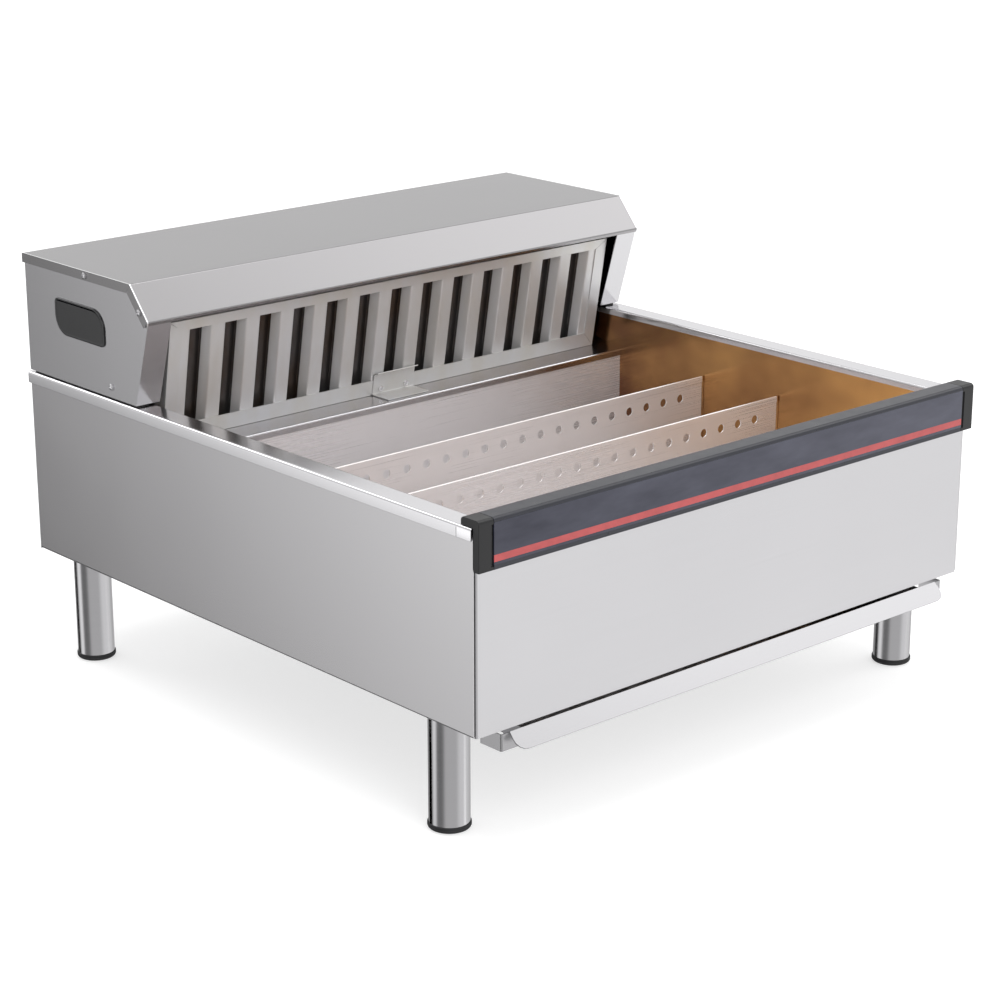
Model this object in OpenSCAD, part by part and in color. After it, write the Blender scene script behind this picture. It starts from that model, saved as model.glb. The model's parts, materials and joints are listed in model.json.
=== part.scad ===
// Chip warmer: a stainless cabinet with an open food well, a filter hood along its rear
// edge, and warm air blown up through a perforated rack.
// Millimetres. X runs left to right, Y from front to back, Z up from the counter.

/* [Cabinet] */
// Width over the side panels
body_w = 711; // [660:1:800]
// Depth from the front panel's face to the back panel's face
body_d = 746; // [720:1:820]
// Height of the cabinet's underside above the counter
leg_h = 118; // [100:1:150]
// Height of the cabinet from its underside to the rail tops
body_h = 208; // [200:1:240]
// Thickness of the stainless sheet
sheet = 1.2; // [1:0.1:1.5]
// Radius of the middle of the sheet in a bend
bend_r = 1.8; // [1.5:0.1:2.4]
// Width of the seam between the front panel and each side panel
seam = 2; // [1.5:0.1:3]

/* [Rail caps] */
// Width of a rail cap's flat top
rail_w = 27; // [24:1:32]
// How far a rail cap stands out from the side panel
rail_proud = 2.5; // [1.5:0.1:4]
// Height of the rail cap's outer lip
rail_outer_lip = 13; // [8:1:18]
// Height of the rail cap's inner lip
rail_inner_lip = 8; // [5:1:12]
// How far a rail cap stands out behind the back panel
rail_rear = 2; // [1:0.5:4]

/* [Hood] */
// Height of the hood above the rail tops
hood_h = 134; // [120:1:160]
// Depth of the hood's flat top, from the back panel's face
hood_flat = 206; // [180:1:220]
// Depth of the hood at the lower edge of its sloping front
hood_knee = 237; // [230:1:250]
// Drop from the hood's top to the lower edge of its sloping front
knee_drop = 36; // [28:1:44]
// Depth of the hood where it meets the rails
hood_toe = 208; // [200:1:220]
// Width of the flange down each side of the hood's opening
return_w = 30; // [20:1:32]
// How far the cover stands out from the hood's sides
cover_proud = 2; // [1.6:0.1:3]
// Height of the cover's side lips
cover_lip = 10.5; // [8:0.5:14]
// Height of the cover's front lip
cover_front_lip = 3.6; // [2.5:0.1:5]
// Thickness of the gasket between the hood and the rails
gasket_h = 2; // [1:0.5:4]
// Diameter of a screw's head
screw_head_d = 7; // [6:0.5:9]
// Diameter of a screw's shank
screw_d = 4; // [3:0.5:5]

/* [Food well] */
// Distance from the front panel's face to the front wall of the well
well_front = 19; // [17:1:30]
// Depth of the chamber behind the well, up to the back panel's face
rear_d = 235; // [232:1:260]
// Drop from the rail tops to the ledge behind the well
ledge_drop = 48; // [40:1:60]
// Depth of the ledge
ledge_d = 62; // [56:1:66]
// Height of the rack's seat above the cabinet's underside
seat_h = 46; // [40:1:54]
// Height of the rack
rack_h = 12; // [8:1:18]
// Distance from the rear wall to the rear divider
rear_bay = 140; // [110:1:160]
// Distance from the rear divider to the front divider
mid_bay = 119; // [90:1:140]
// Height of a divider
divider_h = 95; // [80:1:100]
// Width of a divider's foot
divider_foot = 14; // [10:1:20]
// Diameter of the holes in the dividers
hole_d = 10; // [8:0.5:12]
// Distance from one divider hole to the next
hole_pitch = 28; // [22:1:40]
// Drop from a divider's top to its holes
hole_drop = 21; // [16:1:30]
// Diameter of the air holes in the rack
air_hole_d = 12; // [8:1:16]
// Distance from one air hole to the next
air_pitch = 34; // [28:1:60]
// Clearance round the rack and the dividers
lift_gap = 1; // [0.6:0.1:2]

/* [Filter] */
// Gap between each end of the filter and the well's side wall
filter_end_gap = 12; // [8:0.5:30]
// Height of the filter along its slope
filter_h = 139; // [130:0.5:139]
// Thickness of the filter
filter_t = 20; // [16:1:24]
// Angle by which the filter leans forward
filter_lean = 9.9; // [6:0.1:10]
// Distance from the well's rear wall to the filter's foot
filter_set = 36; // [34:1:40]
// Width of the frame's front flange
frame_band = 16; // [12:1:20]
// Number of open slots between the front baffles
slots = 13; // [9:1:15]
// Width of a slot
slot_w = 20; // [16:1:24]
// Depth of a baffle's sides
baffle_d = 11; // [8:0.5:12]
// Width of the clip at the filter's foot
clip_w = 60; // [45:1:80]
// Height of the clip
clip_h = 25; // [18:1:34]

/* [Front trim] */
// Height of the trim's face
trim_h = 50.5; // [44:0.5:60]
// Depth of the trim's top
trim_top_d = 25; // [20:1:30]
// How far the trim stands out from the front panel
trim_proud = 8; // [6:0.5:11]
// Thickness of the trim's top above the rails
trim_top_t = 8.5; // [6:0.5:12]
// How far the trim's ends stand out beyond the side panels
trim_over = 1.5; // [0.5:0.5:4]
// Width of an end block
block_w = 18.5; // [12:0.5:26]
// Height of the label insert
insert_h = 41.5; // [36:0.5:42]
// Height of the margin below the label insert
insert_margin = 4.5; // [3:0.5:6]
// Thickness of the label insert
insert_t = 1.5; // [1:0.1:2.5]
// Height of the red stripe
stripe_h = 10; // [6:0.5:14]

/* [Plaque] */
// Width of the plaque on the hood's side
plaque_w = 94; // [70:1:110]
// Height of the plaque
plaque_h = 40; // [30:1:50]
// Distance from the back panel's face to the plaque's middle
plaque_back = 106; // [90:1:120]
// Height of the plaque's middle above the rail tops
plaque_rise = 75; // [60:1:80]
// Thickness of the plaque
plaque_t = 1.6; // [1:0.1:2.5]

/* [Crumb tray] */
// Distance from the cabinet's side to the end of the tray's front
tray_front_inset = 30.5; // [25:0.5:36]
// Height of the tray's front
tray_front_h = 18; // [14:1:24]
// How far the tray's front stands out from the front panel
tray_proud = 3; // [2:0.5:5]
// Gap between the cabinet's underside and the tray
tray_gap = 2; // [1.5:0.5:4]
// Distance from the outside of a runner to the side of the tray's pan
pan_inset = 15; // [14:0.5:30]
// How far the tray's rear end reaches behind the well
tray_over = 6; // [0:1:20]
// Depth of the returns at the ends of the tray's front
tray_return = 30; // [20:1:36]
// Length of the lip
lip_len = 20; // [14:1:26]
// Distance from the end of the tray's front to the end of the lip
lip_inset = 11; // [6:0.5:30]
// Radius of the lip's corners
lip_corner = 12; // [6:1:14]

/* [Legs] */
// Diameter of a leg
leg_d = 41.3; // [36:0.1:44]
// Wall of a leg's tube
leg_wall = 1.6; // [1.2:0.1:2.5]
// Distance from the cabinet's side to a leg's middle
leg_inset_x = 25; // [23:1:30]
// Distance from the cabinet's front or rear to a leg's middle
leg_inset_y = 66; // [55:1:90]
// Diameter of a foot
foot_d = 43.5; // [42:0.1:47]
// Height of a foot below its leg
foot_h = 7; // [5:1:12]

/* [Air system] */
// Diameter of the blower wheel
wheel_d = 116; // [90:1:124]
// Width of the blower wheel
wheel_w = 70; // [50:1:80]
// Number of blades on the blower wheel
blades = 24; // [16:1:32]
// Diameter of the blower motor
motor_d = 88; // [70:1:100]
// Length of the blower motor
motor_l = 96; // [80:1:120]
// Diameter of the motor's shaft
shaft_d = 8; // [6:0.5:12]
// Diameter of the heating element's tube
element_d = 8; // [6:0.5:10]
// Length of the heating element
element_l = 360; // [300:1:400]
// Width of the air duct
duct_w = 420; // [400:1:500]

/* [Controls] */
// Width of the control plate on the back panel
plate_w = 150; // [130:1:180]
// Height of the control plate
plate_h = 90; // [80:1:110]
// Diameter of the thermostat's knob
knob_d = 38; // [30:1:46]
// Height of the thermostat's knob
knob_h = 15; // [12:0.5:15]
// Diameter of the thermostat's shaft
spindle_d = 6; // [5:0.5:8]
// Width of the power rocker
rocker_w = 13; // [11:0.5:16]
// Length of the power rocker
rocker_l = 25; // [21:0.5:28]
// Diameter of the bore in the cable inlet
inlet_bore = 10; // [7:0.5:12]
// Diameter of the cable inlet's thread
inlet_d = 20; // [18:0.5:24]

/* [Hidden] */
$fn = 48;
eps = 0.01;

// Clearance between sheets that lie side by side
fit_gap = 0.3;
// Radial clearance of a turning shaft in its bore
shaft_gap = 0.05;

lip_angle = 45;
front_reach = tray_proud + lip_len * sin(lip_angle) + sheet * cos(lip_angle);
knob_gap = 1;
rear_reach = sheet + knob_gap + knob_h;
y_front = front_reach - (front_reach + body_d + rear_reach) / 2;
y_back = y_front + body_d;
x_side = body_w / 2;
z_base = leg_h;
z_rail = leg_h + body_h;
z_hood = z_rail + hood_h;

// Clearance between the panels' top edges and the rail caps
cap_gap = 0.1;
// Clearance between the hood's sides and the cover's underside
cover_gap = 0.2;
// Radius of the middle of the sheet in a rail cap's bends
rail_bend_r = bend_r + 0.6;

// Side walls and places of the well, the ledge and the rack
x_rail_out = x_side + rail_proud;
x_in = x_rail_out - rail_w;
x_wall = x_in + sheet;
y_well_front = y_front + well_front;
y_well_rear = y_back - rear_d;
z_ledge = z_rail - ledge_drop;
z_seat = z_base + seat_h;
seat_w = 18;
seat_lap = 10;
z_wall_foot = z_seat + bend_r - sheet / 2;
z_rack = z_seat + fit_gap;
z_rack_top = z_rack + rack_h;
x_lift = x_in - lift_gap;
y_rear_div = y_well_rear - rear_bay;
y_front_div = y_rear_div - mid_bay;
z_div = z_rack_top + fit_gap;
hole_margin = 30;
hem_h = 7;
hem_t = 2.6;

// Outline of the hood in a side view, from the rear foot round to the toe
z_hood_foot = z_rail + gasket_h;
toe = [y_back - hood_toe, z_hood_foot];
knee = [y_back - hood_knee, z_hood - knee_drop];
brow = [y_back - hood_flat, z_hood];

// Filter: foot of its front face, and its own directions up the slope and out of its face
filter_w = 2 * (x_in - filter_end_gap);
y_filter = y_well_rear + filter_set;
z_filter = z_ledge + fit_gap;
filter_up = [-sin(filter_lean), cos(filter_lean)];
filter_out = [-cos(filter_lean), -sin(filter_lean)];
frame_top = 11.5;
frame_foot = 18;
frame_rear_band = 9;
slot_slack = 2;
slot_pitch = (filter_w - 2 * frame_band - 2 * slot_slack) / slots;
baffle_spread = 9.3;
baffle_face = slot_pitch - slot_w - baffle_spread;
clip_screw_pitch = 37;
clip_screw_rise = 7;
clip_lip = 7;

// Trim
y_trim = y_front - trim_proud;
z_trim_top = z_rail + trim_top_t;
z_trim = z_trim_top - trim_h;
x_trim = x_side + trim_over;
x_block = x_trim - block_w;
z_insert = z_trim + insert_margin;
stripe_rise = 1.3;
stripe_t = 0.5;
trim_round = 4;

// Legs and the flanges that they carry
side_flange = leg_inset_x + leg_d / 2 + 1;
x_leg = x_side - leg_inset_x;
y_leg_front = y_front + leg_inset_y;
y_leg_rear = y_back - leg_inset_y;
stud_d = 10;
stud_gap = 0.3;
leg_plate_t = 3;
nut_h = 8;
z_pan_top = z_base + 2 * sheet;

// Crumb tray and its runners
x_run = x_side - side_flange;
y_tray = y_front - tray_proud;
z_tray_top = z_base - tray_gap;
z_tray = z_tray_top - tray_front_h;
y_tray_end = y_well_rear + tray_over;
run_drop = 4;
z_tray_flange = z_base - run_drop;
tray_side_gap = 0.7;
x_tray_flange = x_run - sheet - tray_side_gap;
x_pan = x_run - pan_inset;
x_tray_front = x_side - tray_front_inset;
lip_w = 2 * (x_tray_front - lip_inset);
crumb_inset = 12;

// Air system, behind the well
x_blower = -60;
blower_set = 132;
y_blower = y_well_rear + blower_set;
scroll_r = wheel_d / 2 + 34;
scroll_w = wheel_w + 14;
z_blower = z_pan_top + scroll_r;
duct_d = 66;
duct_h = seat_h - 3 * sheet;
neck_h = duct_h - 2 * sheet;
element_rows = 4;
element_pitch = 14;
bracket_hole_gap = 0.4;

// Controls on the back panel
controls_inset = 120.5;
x_controls = x_side - controls_inset;
controls_rise = 92;
z_controls = z_base + controls_rise;
knob_dx = 34;
rocker_dx = -38;
rocker_tilt = 8;
rocker_deep = 7;
bezel_w = 3;
bezel_t = 1.6;
inlet_inset = 55.5;
x_inlet = x_side - inlet_inset;
z_inlet = z_base + 26;
inlet_out = 12;
inlet_in = 14;

steel = [0.76, 0.76, 0.77];
galvanised = [0.66, 0.68, 0.70];
slate = [0.29, 0.30, 0.34];
black = [0.10, 0.10, 0.11];
red = [0.74, 0.33, 0.34];
brass = [0.80, 0.65, 0.35];

// Sheet metal: a strip of even thickness along a path, with round bends
bend_steps = 4;
function unit(v) = v / norm(v);
function left_of(v) = [-v[1], v[0]];
function turned(v, a) = [v[0] * cos(a) - v[1] * sin(a), v[0] * sin(a) + v[1] * cos(a)];
function inset(a, b, c, t) =
  let (n = left_of(unit(b - a)), m = left_of(unit(c - b))) b + t * (n + m) / (1 + n * m);
function bend(a, b, c, r) =
  let (u = unit(b - a), v = unit(c - b), s = sign(u[0] * v[1] - u[1] * v[0]))
  let (turn = acos(max(-1, min(1, u * v))), n = left_of(u))
  let (middle = b - u * r * tan(turn / 2) + n * r * s)
  [for (k = [0:bend_steps]) let (m = turned(n, s * turn * k / bend_steps)) [middle - m * r * s, m]];
function strip_line(path, r) =
  let (last = len(path) - 1)
  concat(
    [[path[0], left_of(unit(path[1] - path[0]))]],
    [for (i = [1:1:last - 1]) each bend(path[i - 1], path[i], path[i + 1], r)],
    [[path[last], left_of(unit(path[last] - path[last - 1]))]]);

function strip_outline(path, r) =
  let (line = strip_line(path, r))
  concat(
    [for (q = line) q[0] + q[1] * sheet / 2],
    [for (i = [len(line) - 1:-1:0]) line[i][0] - line[i][1] * sheet / 2]);

module bent(path, r = bend_r) polygon(strip_outline(path, r));

// A closed outline whose corners are rounded, each by its own radius
function round_corners(points, radii) =
  let (n = len(points))
  [for (i = [0:n - 1]) each [
    for (q = bend(points[(i + n - 1) % n], points[i], points[(i + 1) % n], radii[i])) q[0]]];

// Extrusions of a side view (Y, Z), a front view (X, Z) and a plan (X, Y)
module along_x(from, to) translate([from, 0, 0]) rotate([90, 0, 90]) linear_extrude(to - from) children();
module along_y(from, to) translate([0, to, 0]) rotate([90, 0, 0]) linear_extrude(to - from) children();
module along_z(from, to) translate([0, 0, from]) linear_extrude(to - from) children();
module box(low, high) translate(low) cube(high - low);
module to_right() mirror([1, 0, 0]) children();

// Axes of the screws
cover_screw_back = 84;
side_screw_back = 46;
side_screw_rise = 14;
shell_screw_inset = 12;
shell_screw_rise = 30;
plate_screw_inset = 8;
screw_hole_d = screw_d + 0.4;
screw_reach = 4;
cover_screw_places = [
  [brow[0] + cover_screw_back, z_hood - cover_lip / 2],
  (brow + 2 * knee) / 3 + left_of(unit(knee - brow)) * cover_lip / 2];
side_screw_places = [[toe[0] + side_screw_back, z_rail + side_screw_rise]];
back_screw_places = [
  for (x = [-1, 1], z = [z_base + shell_screw_rise, z_rail - shell_screw_rise])
    [x * (x_side - shell_screw_inset), z]];
hood_back_screw_places = [
  for (x = [-1, 1], z = [z_rail + shell_screw_rise, z_hood - shell_screw_rise])
    [x * (x_side - shell_screw_inset), z]];
plate_screw_places = [
  for (x = [-1, 1], z = [-1, 1])
    [x_controls + x * (plate_w / 2 - plate_screw_inset), z_controls + z * (plate_h / 2 - plate_screw_inset)]];

module screw_along_x(x, y, z) {
  rim_h = 1.4;
  crown_h = 1;
  shank_l = 6;
  translate([x, y, z]) rotate([0, -90, 0]) {
    cylinder(d = screw_head_d, h = rim_h);
    translate([0, 0, rim_h]) cylinder(d1 = screw_head_d, d2 = screw_head_d * 0.55, h = crown_h, $fn = 24);
    translate([0, 0, -shank_l]) cylinder(d = screw_d, h = shank_l + eps);
  }
}

module screw_along_y(x, y, z) {
  head_h = 1.8;
  translate([x, y, z]) rotate([-90, 0, 0]) {
    cylinder(d = screw_head_d, h = head_h);
    translate([0, 0, -2 * sheet]) cylinder(d = screw_d, h = 2 * sheet + eps);
  }
}

// Cabinet shell
module side_panel() {
  x = -x_side + sheet / 2;
  rear_flange = 20;
  color(steel)
  difference() {
    union() {
      along_y(y_front + seam, y_back - sheet) bent([
        [x, z_rail - sheet - cap_gap], [x, z_base + sheet / 2],
        [x + side_flange - sheet / 2, z_base + sheet / 2]]);
      box([x, y_back - 2 * sheet, z_base + sheet / 2],
        [-x_side + rear_flange, y_back - sheet, z_rail - sheet]);
    }
    for (y = [y_leg_front, y_leg_rear])
      translate([-x_leg, y, z_base - 1]) cylinder(d = stud_d + 2 * stud_gap, h = sheet + 2);
    for (p = back_screw_places)
      translate([p[0], y_back, p[1]]) rotate([90, 0, 0]) cylinder(d = screw_hole_d, h = screw_reach);
  }
}

module left_side_panel() side_panel();
module right_side_panel() to_right() side_panel();

module front_panel() {
  x = x_side - seam - sheet / 2;
  y = y_front + sheet / 2;
  side_return = 16;
  foot_flange = 15;
  lap = 20;
  color(steel) {
    difference() {
      along_z(z_base, z_rail - sheet)
        bent([[-x, y_front + side_return], [-x, y], [x, y], [x, y_front + side_return]]);
      box([-x_side, y_front + seam - fit_gap, z_base - 1],
        [x_side, y_front + side_return + 1, z_base + sheet]);
    }
    along_x(-x_in + fit_gap, x_in - fit_gap) bent([
      [y_front + well_front, z_rail - sheet / 2], [y, z_rail - sheet / 2], [y, z_rail - lap]]);
    along_x(-x_run + fit_gap, x_run - fit_gap) bent([
      [y, z_base + lap], [y, z_base + sheet / 2], [y_front + foot_flange, z_base + sheet / 2]]);
  }
}

// Air louvres of the back panel
louvre_l = 62;
louvre_h = 7;
louvre_out = 5;
louvre_inset = 126;
louvre_step = 80;
louvre_rise = 60;
louvre_pitch = 22;
louvre_places = [
  for (i = [0:2], j = [0:3])
    [-x_side + louvre_inset + i * louvre_step, z_base + louvre_rise + j * louvre_pitch]];

module louvre(x, z) {
  along_x(x - louvre_l / 2, x + louvre_l / 2)
    polygon([[y_back - sheet / 2, z - sheet], [y_back + louvre_out, z - sheet], [y_back + louvre_out, z],
      [y_back, z + louvre_h + 4], [y_back - sheet / 2, z + louvre_h + 4]]);
}

module louvre_mouth(x, z) {
  along_x(x - louvre_l / 2 + sheet, x + louvre_l / 2 - sheet)
    polygon([[y_back - 2 * sheet, z - 2 * sheet], [y_back + louvre_out - sheet, z - 2 * sheet],
      [y_back + louvre_out - sheet, z - sheet / 2], [y_back - sheet / 2, z + louvre_h],
      [y_back - 2 * sheet, z + louvre_h]]);
}

module back_panel() {
  x = x_side;
  flange = 14;
  lap = 30;
  window_lap = 16;
  window = [plate_w / 2 - window_lap, plate_h / 2 - window_lap];
  color(galvanised)
  difference() {
    union() {
      box([-x, y_back - sheet, z_base], [x, y_back, z_rail - sheet - cap_gap]);
      along_x(-x_in + fit_gap, x_in - fit_gap) bent([
        [y_back - sheet / 2, z_rail - lap], [y_back - sheet / 2, z_rail - 1.5 * sheet],
        [y_back - flange, z_rail - 1.5 * sheet]]);
      for (p = louvre_places) louvre(p[0], p[1]);
    }
    for (p = louvre_places) louvre_mouth(p[0], p[1]);
    for (side = [0, 1]) mirror([side, 0, 0])
      box([x_in - fit_gap, y_back - 2 * sheet, z_rail - rail_inner_lip - fit_gap],
        [x_in + 2 * rail_bend_r, y_back + sheet, z_rail]);
    box([x_controls - window[0], y_back - 2 * sheet, z_controls - window[1]],
      [x_controls + window[0], y_back + 1, z_controls + window[1]]);
    translate([x_inlet, y_back + 1, z_inlet]) rotate([90, 0, 0])
      cylinder(d = inlet_d + 2 * fit_gap, h = screw_reach);
    for (p = concat(back_screw_places, plate_screw_places))
      translate([p[0], y_back + 1, p[1]]) rotate([90, 0, 0]) cylinder(d = screw_hole_d, h = screw_reach);
  }
}

module base_pan() {
  x = x_side - seam - 2 * sheet - fit_gap - sheet / 2;
  z = z_base + 1.5 * sheet;
  rim = 12;
  hole_lap = 6;
  x_hole = x_pan - hole_lap;
  color(galvanised)
  difference() {
    along_y(y_front + 2 * sheet + bend_r, y_back - 3 * sheet - fit_gap)
      bent([[-x, z + rim], [-x, z], [x, z], [x, z + rim]]);
    box([-x_hole, y_well_front + crumb_inset, z_base],
      [x_hole, y_well_rear - 2 * crumb_inset, z_base + 3 * sheet]);
    for (sx = [-1, 1], y = [y_leg_front, y_leg_rear])
      translate([sx * x_leg, y, z_base]) cylinder(d = stud_d + 2 * stud_gap, h = 3 * sheet);
  }
}

module left_corner_posts() {
  leg = 18;
  x_f = -x_side + seam + 1.5 * sheet;
  x_r = -x_side + 1.5 * sheet;
  y_f = y_front + 1.5 * sheet;
  y_r = y_back - 2.5 * sheet;
  along_z(z_pan_top, z_rail - 2 * sheet) {
    bent([[x_f + leg, y_f], [x_f, y_f], [x_f, y_f + leg]]);
    bent([[x_r + leg, y_r], [x_r, y_r], [x_r, y_r - leg]]);
  }
}

module corner_posts() {
  color(galvanised) {
    left_corner_posts();
    to_right() left_corner_posts();
  }
}

// Rail caps, an upside-down U over each side panel
module rail_cap() {
  xo = x_rail_out - sheet / 2;
  xi = x_in + sheet / 2;
  z = z_rail - sheet / 2;
  joint = 0.6;
  joint_back = 22;
  joint_drop = 3;
  color(steel)
  difference() {
    along_y(y_front + seam, y_back + rail_rear)
      bent([[-xo, z_rail - rail_outer_lip], [-xo, z], [-xi, z], [-xi, z_rail - rail_inner_lip]], rail_bend_r);
    box([-x_rail_out - 1, y_front + joint_back, z_rail - rail_outer_lip - 1],
      [-x_rail_out + joint, y_front + joint_back + joint, z_rail - joint_drop]);
  }
}

module left_rail_cap() rail_cap();
module right_rail_cap() to_right() rail_cap();

// Food well
module well_side_wall() {
  x = x_wall + sheet / 2;
  color(steel)
    along_y(y_well_front - sheet, y_well_rear + ledge_d)
      bent([[-x, z_rail - sheet / 2 - rail_bend_r], [-x, z_seat - sheet / 2],
        [-x + seat_w, z_seat - sheet / 2]]);
}

module well_left_wall() well_side_wall();
module well_right_wall() to_right() well_side_wall();

module well_front_wall() {
  y = y_well_front - sheet / 2;
  x_seat = x_wall - seat_w - fit_gap;
  x_lip = x_in - fit_gap;
  z_lip = z_rail - rail_inner_lip - fit_gap;
  color(steel) {
    box([-x_wall, y_well_front - sheet, z_wall_foot], [x_wall, y_well_front, z_lip]);
    box([-x_lip, y_well_front - sheet, z_lip - eps], [x_lip, y_well_front, z_rail - sheet]);
    along_x(-x_seat, x_seat)
      bent([[y, z_seat + seat_lap], [y, z_seat - sheet / 2], [y_well_front + seat_w, z_seat - sheet / 2]]);
  }
}

module well_rear_wall() {
  y = y_well_rear + sheet / 2;
  x_seat = x_wall - seat_w - fit_gap;
  color(steel) {
    box([-x_wall, y_well_rear, z_wall_foot],
      [x_wall, y_well_rear + sheet, z_ledge - sheet / 2 - bend_r]);
    along_x(-x_seat, x_seat)
      bent([[y, z_seat + seat_lap], [y, z_seat - sheet / 2], [y_well_rear - seat_w, z_seat - sheet / 2]]);
  }
}

module rear_ledge() {
  nose = 8;
  upstand = 10;
  y_end = y_well_rear + ledge_d - sheet / 2;
  color(steel)
    along_x(-x_wall, x_wall) bent([
      [y_well_rear - sheet / 2, z_ledge - nose], [y_well_rear - sheet / 2, z_ledge - sheet / 2],
      [y_end, z_ledge - sheet / 2], [y_end, z_ledge + upstand]]);
}

module food_rack() {
  y0 = y_well_front + lift_gap;
  y1 = y_well_rear - sheet - lift_gap;
  air_margin = 25;
  columns = floor(2 * (x_lift - air_margin) / air_pitch);
  rows = floor((y1 - y0 - 2 * air_margin) / air_pitch);
  color(steel)
  difference() {
    box([-x_lift, y0, z_rack], [x_lift, y1, z_rack_top]);
    box([-x_lift + sheet, y0 + sheet, z_rack - 1], [x_lift - sheet, y1 - sheet, z_rack_top - sheet]);
    for (i = [0:columns - 1], j = [0:rows - 1])
      translate([(i - (columns - 1) / 2) * air_pitch,
          (y0 + y1) / 2 + (j - (rows - 1) / 2) * air_pitch, z_rack_top - 2 * sheet])
        cylinder(d = air_hole_d, h = 3 * sheet);
  }
}

module divider(y) {
  holes = 2 * floor((x_lift - hole_margin) / hole_pitch + 0.5);
  z_top = z_div + divider_h;
  z_hem = z_top - hem_h;
  hem_r = hem_t * 0.45;
  hem_front = [y - hem_t / 2, z_hem];
  hem_rear = [y + hem_t / 2, z_hem];
  corner_front = [y - hem_t / 2, z_top];
  corner_rear = [y + hem_t / 2, z_top];
  color(steel)
  difference() {
    along_x(-x_lift, x_lift) polygon(concat(
      strip_outline([[y, z_hem], [y, z_div + sheet / 2], [y - divider_foot, z_div + sheet / 2]], bend_r),
      [hem_front],
      [for (q = bend(hem_front, corner_front, corner_rear, hem_r)) q[0]],
      [for (q = bend(corner_front, corner_rear, hem_rear, hem_r)) q[0]],
      [hem_rear]));
    for (i = [0:holes - 1])
      translate([(i - (holes - 1) / 2) * hole_pitch, y + 5, z_top - hole_drop])
        rotate([90, 0, 0]) cylinder(d = hole_d, h = 10);
  }
}

module rear_divider() divider(y_rear_div);
module front_divider() divider(y_front_div);

// Hood
module hood_side() {
  x = -x_side;
  flange = 18;
  y_rear = y_back - sheet;
  inward = left_of(unit(toe - knee));
  top = [y_back, z_hood];
  brow_in = inset(top, brow, knee, sheet + cover_gap);
  knee_in = inset(brow, knee, toe, sheet + cover_gap);
  toe_in = toe + [sheet / inward[0], 0];
  color(steel)
  difference() {
    union() {
      along_x(x, x + sheet)
        polygon([[y_rear, z_hood_foot], [y_rear, z_hood - sheet - cover_gap], brow_in, knee_in, toe_in]);
      along_x(x, x + return_w)
        polygon([knee_in, toe_in, toe_in + [sheet / inward[0], 0], knee_in + inward * sheet]);
      box([x, toe_in[0], z_hood_foot], [x + flange, y_rear - sheet, z_hood_foot + sheet]);
      box([x, y_rear - sheet, z_hood_foot], [x + flange, y_rear, z_hood - 3 * sheet]);
    }
    for (p = concat(cover_screw_places, side_screw_places))
      translate([x - 1, p[0], p[1]]) rotate([0, 90, 0]) cylinder(d = screw_hole_d, h = sheet + 2);
    for (p = hood_back_screw_places)
      translate([p[0], y_back, p[1]]) rotate([90, 0, 0]) cylinder(d = screw_hole_d, h = screw_reach);
  }
}

module hood_left_side() hood_side();
module hood_right_side() to_right() hood_side();

// Side lip of the cover, with a slit where the top folds down into the sloping front
module cover_side_lip() {
  x = -x_side - cover_proud;
  top = [y_back + cover_proud, z_hood];
  slit_top = inset(top, brow, knee, 2.4 * sheet);
  slit_foot = inset(top, brow, knee, cover_lip + 1);
  along = unit(knee - brow);
  difference() {
    along_x(x, x + sheet) polygon([
      top - [0, sheet / 2], inset(top, brow, knee, sheet / 2), inset(brow, knee, toe, sheet / 2),
      knee + left_of(along) * cover_lip, inset(top, brow, knee, cover_lip), top - [0, cover_lip]]);
    along_x(x - 1, x + sheet + 1)
      polygon([slit_top, slit_foot + 0.5 * along, slit_foot + [0.5, 0]]);
    for (p = cover_screw_places)
      translate([x - 1, p[0], p[1]]) rotate([0, 90, 0]) cylinder(d = screw_hole_d, h = sheet + 2);
  }
}

module hood_cover() {
  t = sheet / 2;
  x = x_side + cover_proud;
  y = y_back + cover_proud;
  knee_in = inset(brow, knee, toe, t);
  color(steel) {
    along_x(-x, x) bent([
      [y - t, z_hood - cover_lip], [y - t, z_hood - t], inset([y, z_hood], brow, knee, t),
      knee_in, knee_in + unit(toe - knee) * cover_front_lip]);
    cover_side_lip();
    to_right() cover_side_lip();
  }
}

module hood_back() {
  x = x_side;
  z0 = z_rail + gasket_h;
  z1 = z_hood - sheet - fit_gap;
  flange = 14;
  lap = 20;
  flange_end = x - 22;
  x_foot = x_in - 2;
  color(galvanised)
  difference() {
    union() {
      box([-x, y_back - sheet, z0], [x, y_back, z1]);
      along_x(-flange_end, flange_end) bent([
        [y_back - flange, z1 - sheet / 2], [y_back - sheet / 2, z1 - sheet / 2],
        [y_back - sheet / 2, z1 - lap]]);
      box([-x_foot, y_back - sheet, z_rail - sheet], [x_foot, y_back, z0 + eps]);
    }
    for (p = hood_back_screw_places)
      translate([p[0], y_back + 1, p[1]]) rotate([90, 0, 0]) cylinder(d = screw_hole_d, h = screw_reach);
  }
}

module hood_gaskets() {
  side_set = 4;
  front_set = 6;
  rear_set = 4;
  gasket_w = 12;
  color(black)
  for (s = [-1, 1])
    translate([s * (x_side - side_set - gasket_w / 2) - gasket_w / 2, toe[0] + front_set, z_rail])
      cube([gasket_w, y_back - toe[0] - front_set - rear_set, gasket_h]);
}

module left_hood_screws() {
  for (p = cover_screw_places) screw_along_x(-x_side - cover_proud, p[0], p[1]);
  for (p = side_screw_places) screw_along_x(-x_side, p[0], p[1]);
}

module hood_screws() {
  color(steel) {
    left_hood_screws();
    to_right() left_hood_screws();
  }
}

// Baffle filter, drawn upright with its foot at the origin and then leaned forward
module in_filter() translate([0, y_filter, z_filter]) rotate([filter_lean, 0, 0]) children();

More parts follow.
